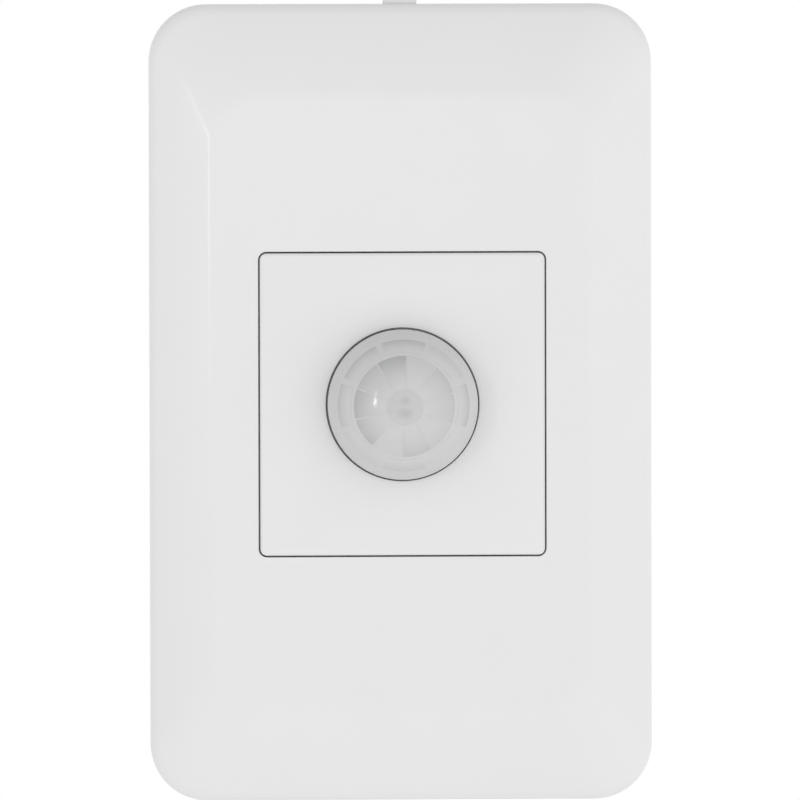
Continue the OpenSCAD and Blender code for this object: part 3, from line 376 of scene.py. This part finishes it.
# Each of the record's finishes, by its material slot
FINISHES = {
    "white_abs": GLOSS_ABS,
    "lens_polyethylene": MILKY,
    # Glass-filled polycarbonate: pale grey and evenly matt
    "frame_polycarbonate": moulded("matt_polycarbonate", "E8E9E9", "ECEDED",
                                   0.42, 0.45 * MM, 0.008 * MM),
    # Spark-grained polycarbonate: a coarser grain that hides finger marks
    "housing_polycarbonate": moulded("grained_polycarbonate", "CDD0D1", "D4D6D7",
                                     0.48, 0.5 * MM, 0.014 * MM),
    # Black nylon: dull, with a faint haze
    "black_nylon": moulded("black_nylon", "161617", "202022", 0.5, 0.3 * MM, 0.006 * MM),
    "fibreglass_board": glass_laminate(),
    # Tinned steel: bright, with fine drawn lines
    "tinned_steel": bare_metal("tinned_steel", "B9BBBD", "D2D3D4", 0.28, 0.12 * MM, 0.002 * MM),
    # Bare brass: warm, lightly brushed by stamping
    "terminal_brass": bare_metal("stamped_brass", "B99652", "D8B96F", 0.3, 0.15 * MM, 0.002 * MM),
    # Rolled copper: pinkish, with the roller's fine lines
    "copper": bare_metal("rolled_copper", "BF7E58", "DFA179", 0.3, 0.15 * MM, 0.002 * MM),
    # Lacquered ceramic: cream and smooth
    "photocell_ceramic": moulded("lacquered_ceramic", "C9A979", "D3B488",
                                 0.3, 0.6 * MM, 0.002 * MM),
    # Blue PBT of the relay's cover: smooth and glossy
    "relay_blue": moulded("blue_pbt", "2B5FA6", "356BB2", 0.25, 0.8 * MM, 0.002 * MM),
    # Red dipped epoxy: glossy and slightly wavy
    "film_red": moulded("red_dipped_epoxy", "A23729", "B24637", 0.18, 1.6 * MM, 0.02 * MM),
    # Shrunk PVC sleeve: a tight dark film with a soft gloss
    "capacitor_sleeve": moulded("shrunk_pvc_sleeve", "222B4C", "2B3559",
                                0.22, 1.2 * MM, 0.004 * MM),
    # Blue dipped epoxy: glossy, with a lumpy skin
    "varistor_epoxy": moulded("blue_dipped_epoxy", "2C6393", "3872A3", 0.2, 1.4 * MM, 0.02 * MM),
    # Cement coat: dry and finely sandy
    "resistor_coat": moulded("cement_coat", "A8997A", "B6A78A", 0.75, 0.25 * MM, 0.02 * MM),
    # Natural polyamide: cream, slightly waxy
    "terminal_polyamide": moulded("natural_polyamide", "D7D2C6", "DEDACF",
                                  0.4, 0.5 * MM, 0.006 * MM),
    # Orange acetal: waxy and even
    "dial_orange": moulded("orange_acetal", "DB7A2A", "E58836", 0.35, 0.4 * MM, 0.004 * MM),
}
# Nodes that share a slot with others but have a finish of their own
OWN_FINISHES = {"sensor_bezel": SATIN_ABS, "relay_coil": wound_copper()}


# Mesh helpers

def mesh_of(bm, name):
    """Closes a bmesh into a mesh with its faces turned outwards."""
    bmesh.ops.recalc_face_normals(bm, faces=bm.faces)
    mesh = bpy.data.meshes.new(name)
    bm.to_mesh(mesh)
    bm.free()
    return mesh


def shown(mesh, modify):
    """The mesh as modifiers leave it: modify adds them to a temporary object."""
    holder = bpy.data.objects.new("holder", mesh)
    scene.collection.objects.link(holder)
    modify(holder)
    bpy.context.view_layer.update()
    evaluated = holder.evaluated_get(bpy.context.evaluated_depsgraph_get())
    result = bpy.data.meshes.new_from_object(evaluated)
    bpy.data.objects.remove(holder)
    return result


def piece(name, mesh, material, body, nodes=()):
    """A finished piece that rides on its body, in place of the nodes that it stands for."""
    mesh.name = name
    mesh.materials.clear()
    mesh.materials.append(material)
    obj = bpy.data.objects.new(name, mesh)
    scene.collection.objects.link(obj)
    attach(obj, body)
    if nodes:
        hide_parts(*nodes)


def smoothed(mesh):
    """A mesh shaded smooth but for its sharp edges."""
    mesh.shade_smooth()
    mesh.set_sharp_from_angle(angle=SHARP)
    return mesh


def loft(bm, rings, closed):
    """Joins rings of points, and the last to the first where closed."""
    loops = [[bm.verts.new(p) for p in ring] for ring in rings]
    following = loops[1:] + loops[:1] if closed else loops[1:]
    for near, far in zip(loops, following):
        for j in range(len(near)):
            k = (j + 1) % len(near)
            bm.faces.new((near[j], far[j], far[k], near[k]))
    return loops


def turned(bm, profile, x, z, steps):
    """A solid turned about an axis along Y.
    Its profile of radius and depth starts and ends on the axis."""
    angles = [2 * math.pi * i / steps for i in range(steps)]
    rings = [[(x + r * math.cos(a), y, z + r * math.sin(a)) for a in angles]
             for r, y in profile[1:-1]]
    loops = loft(bm, rings, closed=False)
    for (_, y), loop in ((profile[0], loops[0]), (profile[-1], loops[-1])):
        pole = bm.verts.new((x, y, z))
        for j in range(steps):
            bm.faces.new((loop[j], loop[(j + 1) % steps], pole))


def boxed(bm, low, high):
    """A plain box between two corners, used to cut with."""
    middle = (Vector(low) + Vector(high)) / 2
    size = Vector(high) - Vector(low)
    place = Matrix.Translation(middle) @ Matrix.Diagonal((*size, 1))
    bmesh.ops.create_cube(bm, size=1, matrix=place)


def carved(mesh, cutter):
    """A mesh with the cutter's shape taken out."""
    tool = bpy.data.objects.new("cutter", cutter)
    scene.collection.objects.link(tool)

    def cut(holder):
        modifier = holder.modifiers.new("cut", "BOOLEAN")
        modifier.operation = "DIFFERENCE"
        modifier.solver = "EXACT"
        modifier.object = tool

    result = shown(mesh, cut)
    bpy.data.objects.remove(tool)
    return result


def softened(node, radius):
    """A merged copy of a CAD node with its edges rounded, as a moulding or a pressing has them."""
    source = frame["nodes"][node].data
    bm = bmesh.new()
    points = [bm.verts.new(v.co) for v in source.vertices]
    for polygon in source.polygons:
        bm.faces.new([points[i] for i in polygon.vertices])
    bmesh.ops.remove_doubles(bm, verts=bm.verts, dist=MERGE)
    bmesh.ops.dissolve_limit(bm, angle_limit=FLAT, verts=bm.verts, edges=bm.edges)
    # Only a curved wall is shaded smooth, so that flat faces stay flat next to their round edges
    for face in bm.faces:
        face.smooth = any(FLAT < edge.calc_face_angle(0) < SHARP for edge in face.edges)
    bmesh.ops.triangulate(bm, faces=bm.faces)
    mesh = bpy.data.meshes.new(node)
    bm.to_mesh(mesh)
    bm.free()

    def round_edges(holder):
        modifier = holder.modifiers.new("edges", "BEVEL")
        modifier.width = radius
        modifier.segments = EDGE_STEPS
        modifier.limit_method = "ANGLE"
        modifier.angle_limit = ROUNDED
        modifier.use_clamp_overlap = False
        modifier.loop_slide = False

    result = shown(mesh, round_edges)
    result.set_sharp_from_angle(angle=SHARP)
    return result


def node_tree(name, inputs):
    """An empty Geometry Nodes tree with named inputs and one geometry output."""
    tree = bpy.data.node_groups.new(name, "GeometryNodeTree")
    for label, kind in inputs.items():
        tree.interface.new_socket(label, in_out="INPUT", socket_type=kind)
    tree.interface.new_socket("Geometry", in_out="OUTPUT", socket_type="NodeSocketGeometry")
    return tree, add(tree, "NodeGroupInput").outputs


def grown(tree, values):
    """The plain mesh that a node tree makes with its named inputs set to values."""
    def wire(holder):
        modifier = holder.modifiers.new("grown", "NODES")
        modifier.node_group = tree
        for item in tree.interface.items_tree:
            if item.item_type == "SOCKET" and item.in_out == "INPUT" and item.name in values:
                modifier[item.identifier] = values[item.name]

    return shown(bpy.data.meshes.new("seed"), wire)


def joined(meshes, name):
    """Several meshes as one."""
    bm = bmesh.new()
    for mesh in meshes:
        bm.from_mesh(mesh)
    result = bpy.data.meshes.new(name)
    bm.to_mesh(result)
    bm.free()
    return result


# Wall plate

def rounded_ring(half_w, half_h, radius, y):
    """Points round a rectangle with round corners at depth y."""
    ring = []
    for quarter, (sx, sz) in enumerate(((1, 1), (-1, 1), (-1, -1), (1, -1))):
        for i in range(CORNER_STEPS + 1):
            a = math.pi / 2 * (quarter + i / CORNER_STEPS)
            ring.append((sx * (half_w - radius) + radius * math.cos(a), y,
                         sz * (half_h - radius) + radius * math.sin(a)))
    return ring


def border_section(border_w, border_h):
    """The border from its rim to the flat field: the rim's arc, a bulging slope and the shoulder's
    arc. Each point says how far in from the outline it lies, and how high above the rim."""
    run, drop = border_w - RIM_R, border_h - SHOULDER_R
    slope = math.asin((SHOULDER_R - RIM_R) / math.hypot(run, drop)) + math.atan2(drop, run)
    low, high = slope + BORDER_BULGE, slope - BORDER_BULGE
    arc, rise = [], []
    for i in range(ARC_STEPS + 1):
        a = math.pi / 2 + (low - math.pi / 2) * i / ARC_STEPS
        arc.append(Vector((RIM_R * (1 - math.sin(a)), RIM_R * math.cos(a))))
        a = high * (1 - i / ARC_STEPS)
        rise.append(Vector((border_w - SHOULDER_R * math.sin(a),
                            border_h - SHOULDER_R * (1 - math.cos(a)))))
    foot, top = arc[-1], rise[0]
    chord = top - foot
    reach = (chord.y * math.cos(high) - chord.x * math.sin(high)) / math.sin(low - high)
    bend = foot + reach * Vector((math.cos(low), math.sin(low)))
    shares = [i / SLOPE_STEPS for i in range(1, SLOPE_STEPS)]
    between = [(1 - s) ** 2 * foot + 2 * s * (1 - s) * bend + s * s * top for s in shares]
    return arc + between + rise


def plate_shell():
    """The plate's pillowed shell: rings from the rim over the front and back along the inside."""
    low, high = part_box("wall_plate")
    half_w, half_h = high.x, high.z
    front, back = low.y, high.y
    border_w = half_w - FIELD_W / 2
    section = border_section(border_w, -front - RIM_H)

    def border(inset, rise, wall):
        left = 1 - inset / border_w
        return rounded_ring(FIELD_W / 2 + left * border_w - wall,
                            FIELD_H / 2 + left * (half_h - FIELD_H / 2) - wall,
                            FIELD_CORNER_R + left * (PLATE_CORNER_R - FIELD_CORNER_R) - wall,
                            -RIM_H - rise + wall)

    def opening(grow, y):
        return rounded_ring(INSERT_W / 2 + INSERT_GAP + grow, INSERT_H / 2 + INSERT_GAP + grow,
                            INSERT_CORNER_R + INSERT_GAP + grow, y)

    def rim(inset, y):
        return rounded_ring(half_w - inset, half_h - inset, PLATE_CORNER_R - inset, y)

    rings = [rim(BACK_EDGE_R, back), rim(0, back - BACK_EDGE_R)]
    rings += [border(inset, rise, 0) for inset, rise in section]
    # Two rings that keep the flat field flat next to its round edges
    rings.append(rounded_ring(FIELD_W / 2 - FLAT_EDGE, FIELD_H / 2 - FLAT_EDGE,
                              FIELD_CORNER_R, front))
    rings.append(opening(INSERT_EDGE_R + FLAT_EDGE, front))
    for i in range(ARC_STEPS + 1):
        a = math.pi / 2 * i / ARC_STEPS
        rings.append(opening(INSERT_EDGE_R * (1 - math.sin(a)),
                             front + INSERT_EDGE_R * (1 - math.cos(a))))
    rings.append(opening(0, front + COLLAR_H))
    rings.append(opening(COLLAR_WALL, front + COLLAR_H))
    rings.append(opening(COLLAR_WALL, front + PLATE_WALL))
    rings += [border(inset, rise, PLATE_WALL) for inset, rise in reversed(section)]
    rings.append(rim(PLATE_WALL, back - BACK_EDGE_R))
    rings.append(rim(PLATE_WALL - BACK_EDGE_R, back))
    bm = bmesh.new()
    loft(bm, rings, closed=True)
    shell = mesh_of(bm, "plate_shell")
    # The notch in the top rim that lets the frame's lug out
    notch = bmesh.new()
    reach = PLATE_WALL + RIM_R
    boxed(notch, (-LUG_W / 2 - SLIP, -LUG_T - SLIP, half_h - reach),
          (LUG_W / 2 + SLIP, NOTCH_PAST, half_h + reach))
    return carved(shell, mesh_of(notch, "notch"))


def plate_pegs():
    """The four split pegs inside the plate, with chamfered tips."""
    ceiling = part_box("wall_plate")[0].y + PLATE_WALL
    root = ceiling - PLATE_WALL / 2
    profile = [(0, root), (PEG_R, root), (PEG_R, PEG_TIP_Y - PEG_CHAMFER),
               (PEG_R - PEG_CHAMFER / 2, PEG_TIP_Y), (0, PEG_TIP_Y)]
    pegs, slits = bmesh.new(), bmesh.new()
    for x in (-PEG_X, PEG_X):
        for z in (-PEG_Z, PEG_Z):
            turned(pegs, profile, x, z, PEG_STEPS)
            boxed(slits, (x - PEG_SLIT / 2, PEG_TIP_Y - PEG_SLIT_LEN, z - 2 * PEG_R),
                  (x + PEG_SLIT / 2, PEG_TIP_Y + PEG_R, z + 2 * PEG_R))
    return carved(mesh_of(pegs, "pegs"), mesh_of(slits, "slits"))


def make_wall_plate():
    """The plate with its pegs, in one gloss moulding."""
    shell = joined([plate_shell(), plate_pegs()], "wall_plate")
    piece("wall_plate_shell", smoothed(shell), GLOSS_ABS, "wall_plate", ["wall_plate"])


# Lens

def dome():
    """The dome's radius, the depth of its middle, and the angle at which it meets its band."""
    height = LENS_RISE - LENS_BAND
    radius = (LENS_R ** 2 + height ** 2) / (2 * height)
    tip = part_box("fresnel_lens")[0].y
    return radius, tip + radius, math.asin(LENS_R / radius)


def lens_body():
    """The hollow dome on its band and flange. Its skin is lower by what the panels stand proud."""
    radius, middle, edge = dome()
    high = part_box("fresnel_lens")[1]
    foot = middle - radius * math.cos(edge)
    flange_front = high.y - LENS_FLANGE_T
    skin = radius - FACET_T
    inner = radius - LENS_WALL
    inner_edge = math.acos((middle - foot) / inner)
    side, bore = skin * math.sin(edge), inner * math.sin(inner_edge)
    shares = [i / DOME_STEPS for i in range(DOME_STEPS + 1)]
    profile = [(skin * math.sin(edge * s), middle - skin * math.cos(edge * s)) for s in shares]
    profile += [(side, flange_front), (high.x, flange_front), (high.x, high.y), (bore, high.y)]
    profile += [(inner * math.sin(inner_edge * s), middle - inner * math.cos(inner_edge * s))
                for s in reversed(shares)]
    bm = bmesh.new()
    turned(bm, profile, 0, 0, TURN_STEPS)
    return mesh_of(bm, "fresnel_lens")


def facet_tree():
    """A ring of prism panels on the dome. A block is bent round the dome by its own coordinates
    and repeated, and each panel gets a painted shade, drawn by chance, for the light its prisms
    bend."""
    tree, given = node_tree("facet_ring", {
        "Count": "NodeSocketInt", "Inner angle": "NodeSocketFloat",
        "Outer angle": "NodeSocketFloat", "Share": "NodeSocketFloat",
        "Radius": "NodeSocketFloat", "Thickness": "NodeSocketFloat",
        "Middle": "NodeSocketFloat", "Start": "NodeSocketFloat",
        "Lightest": "NodeSocketFloat", "Darkest": "NodeSocketFloat", "Seed": "NodeSocketInt"})
    block = add(tree, "GeometryNodeMeshCube", {
        "Size": (1.0, 1.0, 1.0), "Vertices X": PANEL_POINTS_ACROSS,
        "Vertices Y": PANEL_POINTS_ALONG, "Vertices Z": 2})
    own = add(tree, "ShaderNodeSeparateXYZ", {0: add(tree, "GeometryNodeInputPosition")}).outputs
    # Where a point lies on the dome: round it, out from its middle, and off its surface
    pitch = add(tree, MATH, {0: 2 * math.pi, 1: given["Count"]}, operation="DIVIDE")
    width = add(tree, MATH, {0: pitch, 1: given["Share"]}, operation="MULTIPLY")
    turn = add(tree, MATH, {0: own["X"], 1: width}, operation="MULTIPLY")
    along = add(tree, MATH, {0: own["Y"], 1: 0.5}, operation="ADD")
    span = add(tree, MATH, {0: given["Outer angle"], 1: given["Inner angle"]},
               operation="SUBTRACT")
    tilt = add(tree, MATH, {0: along, 1: span, 2: given["Inner angle"]}, operation="MULTIPLY_ADD")
    depth = add(tree, MATH, {0: own["Z"], 1: 0.5}, operation="SUBTRACT")
    radius = add(tree, MATH, {0: depth, 1: given["Thickness"], 2: given["Radius"]},
                 operation="MULTIPLY_ADD")
    tilt_sine = add(tree, MATH, {0: tilt}, operation="SINE")
    tilt_cosine = add(tree, MATH, {0: tilt}, operation="COSINE")
    turn_sine = add(tree, MATH, {0: turn}, operation="SINE")
    turn_cosine = add(tree, MATH, {0: turn}, operation="COSINE")
    out = add(tree, MATH, {0: radius, 1: tilt_sine}, operation="MULTIPLY")
    back = add(tree, MATH, {0: radius, 1: tilt_cosine}, operation="MULTIPLY")
    bent = add(tree, "ShaderNodeCombineXYZ", {
        "X": add(tree, MATH, {0: out, 1: turn_cosine}, operation="MULTIPLY"),
        "Y": add(tree, MATH, {0: given["Middle"], 1: back}, operation="SUBTRACT"),
        "Z": add(tree, MATH, {0: out, 1: turn_sine}, operation="MULTIPLY")})
    # How far out a point lies on its panel, for the painted shade that darkens outwards
    marked = add(tree, STORE, {"Geometry": block, "Name": "reach", "Value": along},
                 data_type="FLOAT", domain="POINT")
    placed = add(tree, "GeometryNodeSetPosition", {"Geometry": marked, "Position": bent})
    # The bend mirrors the block, so its faces are turned outwards again
    panel = add(tree, "GeometryNodeFlipFaces", {"Mesh": placed})
    points = add(tree, "GeometryNodeMeshLine", {
        "Count": given["Count"], "Offset": (0.0, 0.0, 0.0)})
    index = add(tree, "GeometryNodeInputIndex")
    angle = add(tree, MATH, {0: index, 1: pitch, 2: given["Start"]}, operation="MULTIPLY_ADD")
    spin = add(tree, "ShaderNodeCombineXYZ", {
        "Y": add(tree, MATH, {0: angle, 1: -1.0}, operation="MULTIPLY")})
    repeated = add(tree, "GeometryNodeInstanceOnPoints", {
        "Points": points, "Instance": panel, "Rotation": spin})
    # Each panel's painted shade, drawn by chance between the lightest and the darkest
    drawn = add(tree, "FunctionNodeRandomValue", {
        2: given["Lightest"], 3: given["Darkest"], "Seed": given["Seed"]}, data_type="FLOAT")
    shade_painted = add(tree, STORE, {"Geometry": repeated, "Name": "tone", "Value": drawn.outputs[1]},
                data_type="FLOAT", domain="INSTANCE")
    real = add(tree, "GeometryNodeRealizeInstances", {"Geometry": shade_painted})
    painted = add(tree, "GeometryNodeSetMaterial", {"Geometry": real, "Material": MILKY})
    add(tree, "NodeGroupOutput", {0: painted})
    return tree


def make_lens():
    """The dome and, on it, the rings of prism panels."""
    piece("lens_dome", smoothed(lens_body()), MILKY, "module",
          ["fresnel_lens"])
    radius, middle, _ = dome()
    tree = facet_tree()
    rings = [grown(tree, {
        **ring, "Radius": radius, "Thickness": 2 * FACET_T, "Middle": middle,
        "Inner angle": math.asin(ring["Inner radius"] / radius),
        "Outer angle": math.asin(ring["Outer radius"] / radius)}) for ring in LENS_RINGS]
    # The panels carry the painted shade of the prisms
    piece("lens_facets", smoothed(joined(rings, "lens_facets")), MILKY, "module")


# Marks round the dials

def tick_tree():
    """Printed bars round a point: a flat bar repeated over an arc."""
    tree, given = node_tree("tick_ring", {
        "Count": "NodeSocketInt", "Radius": "NodeSocketFloat", "Length": "NodeSocketFloat",
        "Width": "NodeSocketFloat", "Thickness": "NodeSocketFloat", "Start": "NodeSocketFloat",
        "Step": "NodeSocketFloat", "Centre": "NodeSocketVector"})
    size = add(tree, "ShaderNodeCombineXYZ", {
        "X": given["Width"], "Y": given["Thickness"], "Z": given["Length"]})
    bar = add(tree, "GeometryNodeMeshCube", {"Size": size})
    out = add(tree, "ShaderNodeCombineXYZ", {"Z": given["Radius"]})
    placed = add(tree, "GeometryNodeTransform", {"Geometry": bar, "Translation": out})
    points = add(tree, "GeometryNodeMeshLine", {
        "Count": given["Count"], "Start Location": given["Centre"], "Offset": (0.0, 0.0, 0.0)})
    index = add(tree, "GeometryNodeInputIndex")
    angle = add(tree, MATH, {0: index, 1: given["Step"], 2: given["Start"]},
                operation="MULTIPLY_ADD")
    spin = add(tree, "ShaderNodeCombineXYZ", {"Y": angle})
    repeated = add(tree, "GeometryNodeInstanceOnPoints", {
        "Points": points, "Instance": placed, "Rotation": spin})
    real = add(tree, "GeometryNodeRealizeInstances", {"Geometry": repeated})
    painted = add(tree, "GeometryNodeSetMaterial", {"Geometry": real, "Material": INK})
    add(tree, "NodeGroupOutput", {0: painted})
    return tree


def make_dial_marks():
    """A ring of printed bars over each dial's range, on the housing's back."""
    tree = tick_tree()
    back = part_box("rear_housing")[1].y
    bars = []
    for dial in ("time_dial", "lux_dial"):
        low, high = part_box(dial)
        middle = (low + high) / 2
        head = (high.x - low.x) / 2
        bars.append(grown(tree, {
            "Count": TICKS, "Radius": head + TICK_GAP, "Length": TICK_LENGTH,
            "Width": TICK_WIDTH, "Thickness": TICK_T, "Start": -DIAL_SWEEP / 2,
            "Step": DIAL_SWEEP / (TICKS - 1), "Centre": (middle.x, back, middle.z)}))
    piece("dial_marks", joined(bars, "dial_marks"), INK, "module")


# Pieces that keep their CAD shape

def dress_nodes():
    """Each CAD node gets its finish, and the ones that show get rounded edges."""
    slots = {part["node"]: part["material_slot"] for part in frame["record"]["subparts"]}
    for name, node in frame["nodes"].items():
        finish = OWN_FINISHES.get(name) or FINISHES[slots[name]]
        node.data.materials.clear()
        node.data.materials.append(finish)
        if name in SOFTENED:
            body = node["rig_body"]
            piece(f"{name}_soft", softened(name, SOFTENED[name]), finish, body, [name])


# Stage, light and camera

def white_for_camera(tree, other, shown_white):
    """What camera, glossy and transmission rays see as white, mixed with what lights the part."""
    path = add(tree, "ShaderNodeLightPath").outputs
    seen = add(tree, MATH, {0: path["Is Camera Ray"], 1: path["Is Glossy Ray"]},
               operation="MAXIMUM")
    seen = add(tree, MATH, {0: seen, 1: path["Is Transmission Ray"]}, operation="MAXIMUM")
    return add(tree, "ShaderNodeMixShader", {0: seen, 1: other, 2: shown_white})


def make_sky():
    """A pale studio surround. It leans a little to the front, to the right and down, with sides
    a little brighter and ends darker than its middle."""
    world = bpy.data.worlds.new("studio")
    scene.world = world
    world.use_nodes = True
    tree = world.node_tree
    tree.nodes.clear()
    towards = add(tree, "ShaderNodeTexCoord").outputs["Generated"]
    lean = add(tree, VECTOR, {0: towards, 1: SKY_LEAN}, operation="DOT_PRODUCT")
    level = add(tree, MATH, {0: lean.outputs["Value"], 1: SKY_LEVEL}, operation="ADD")
    squares = add(tree, VECTOR, {0: towards, 1: towards}, operation="MULTIPLY")
    ends = add(tree, VECTOR, {0: squares, 1: SKY_ENDS}, operation="DOT_PRODUCT")
    level = add(tree, MATH, {0: level, 1: ends.outputs["Value"]}, operation="ADD")
    soft = add(tree, "ShaderNodeBackground", {"Strength": level})
    white = add(tree, "ShaderNodeBackground", {"Color": (1, 1, 1, 1), "Strength": 1.0})
    add(tree, "ShaderNodeOutputWorld", {"Surface": white_for_camera(tree, soft, white)})


def make_floor():
    """A round pale floor well below the part. The camera sees it white, with the part's shadow."""
    material, tree = empty_material("pale_floor")
    matt = add(tree, "ShaderNodeBsdfDiffuse", {"Color": linear("F2F2F2")})
    shade = add(tree, "ShaderNodeBsdfDiffuse", {"Color": FLOOR_GREY})
    glow = add(tree, "ShaderNodeEmission", {"Strength": FLOOR_GLOW})
    white = add(tree, "ShaderNodeAddShader", {0: shade, 1: glow})
    add(tree, "ShaderNodeOutputMaterial", {"Surface": white_for_camera(tree, matt, white)})
    bm = bmesh.new()
    bmesh.ops.create_circle(bm, cap_ends=True, segments=TURN_STEPS, radius=FLOOR_R,
                            matrix=Matrix.Translation((0, 0, FLOOR_Z)))
    mesh = bpy.data.meshes.new("floor")
    bm.to_mesh(mesh)
    bm.free()
    mesh.materials.append(material)
    floor = bpy.data.objects.new("floor", mesh)
    scene.collection.objects.link(floor)


def make_strip():
    """The strip of light on the left, from its rectangular lamps."""
    for name, (place, width, height, watts) in STRIP.items():
        data = bpy.data.lights.new(name, "AREA")
        data.shape = "RECTANGLE"
        data.size, data.size_y = width, height
        data.energy = watts
        lamp = bpy.data.objects.new(name, data)
        scene.collection.objects.link(lamp)
        aim = Vector(STRIP_AIM) - Vector(place)
        turn = aim.to_track_quat("-Z", "Y").to_matrix().to_4x4()
        lean = Matrix.Rotation(STRIP_LEAN, 4, "Z")
        lamp.matrix_world = Matrix.Translation(place) @ turn @ lean
        lamp.visible_camera = False


def make_camera():
    """The photograph's view: a long lens, a little from the left and from above."""
    data = bpy.data.cameras.new("camera")
    camera = bpy.data.objects.new("camera", data)
    scene.collection.objects.link(camera)
    data.sensor_width = SENSOR
    data.lens = SENSOR * CAMERA_AWAY / VIEW_W
    level = math.cos(CAMERA_EL)
    back = Vector((math.sin(CAMERA_AZ) * level, -math.cos(CAMERA_AZ) * level, math.sin(CAMERA_EL)))
    place = Vector(CAMERA_AIM) + back * CAMERA_AWAY
    turn = (-back).to_track_quat("-Z", "Y").to_matrix().to_4x4()
    roll = Matrix.Rotation(CAMERA_ROLL, 4, "Z")
    camera.matrix_world = Matrix.Translation(place) @ turn @ roll
    scene.camera = camera


make_camera()
make_sky()
make_floor()
make_strip()
make_wall_plate()
make_lens()
make_dial_marks()
dress_nodes()
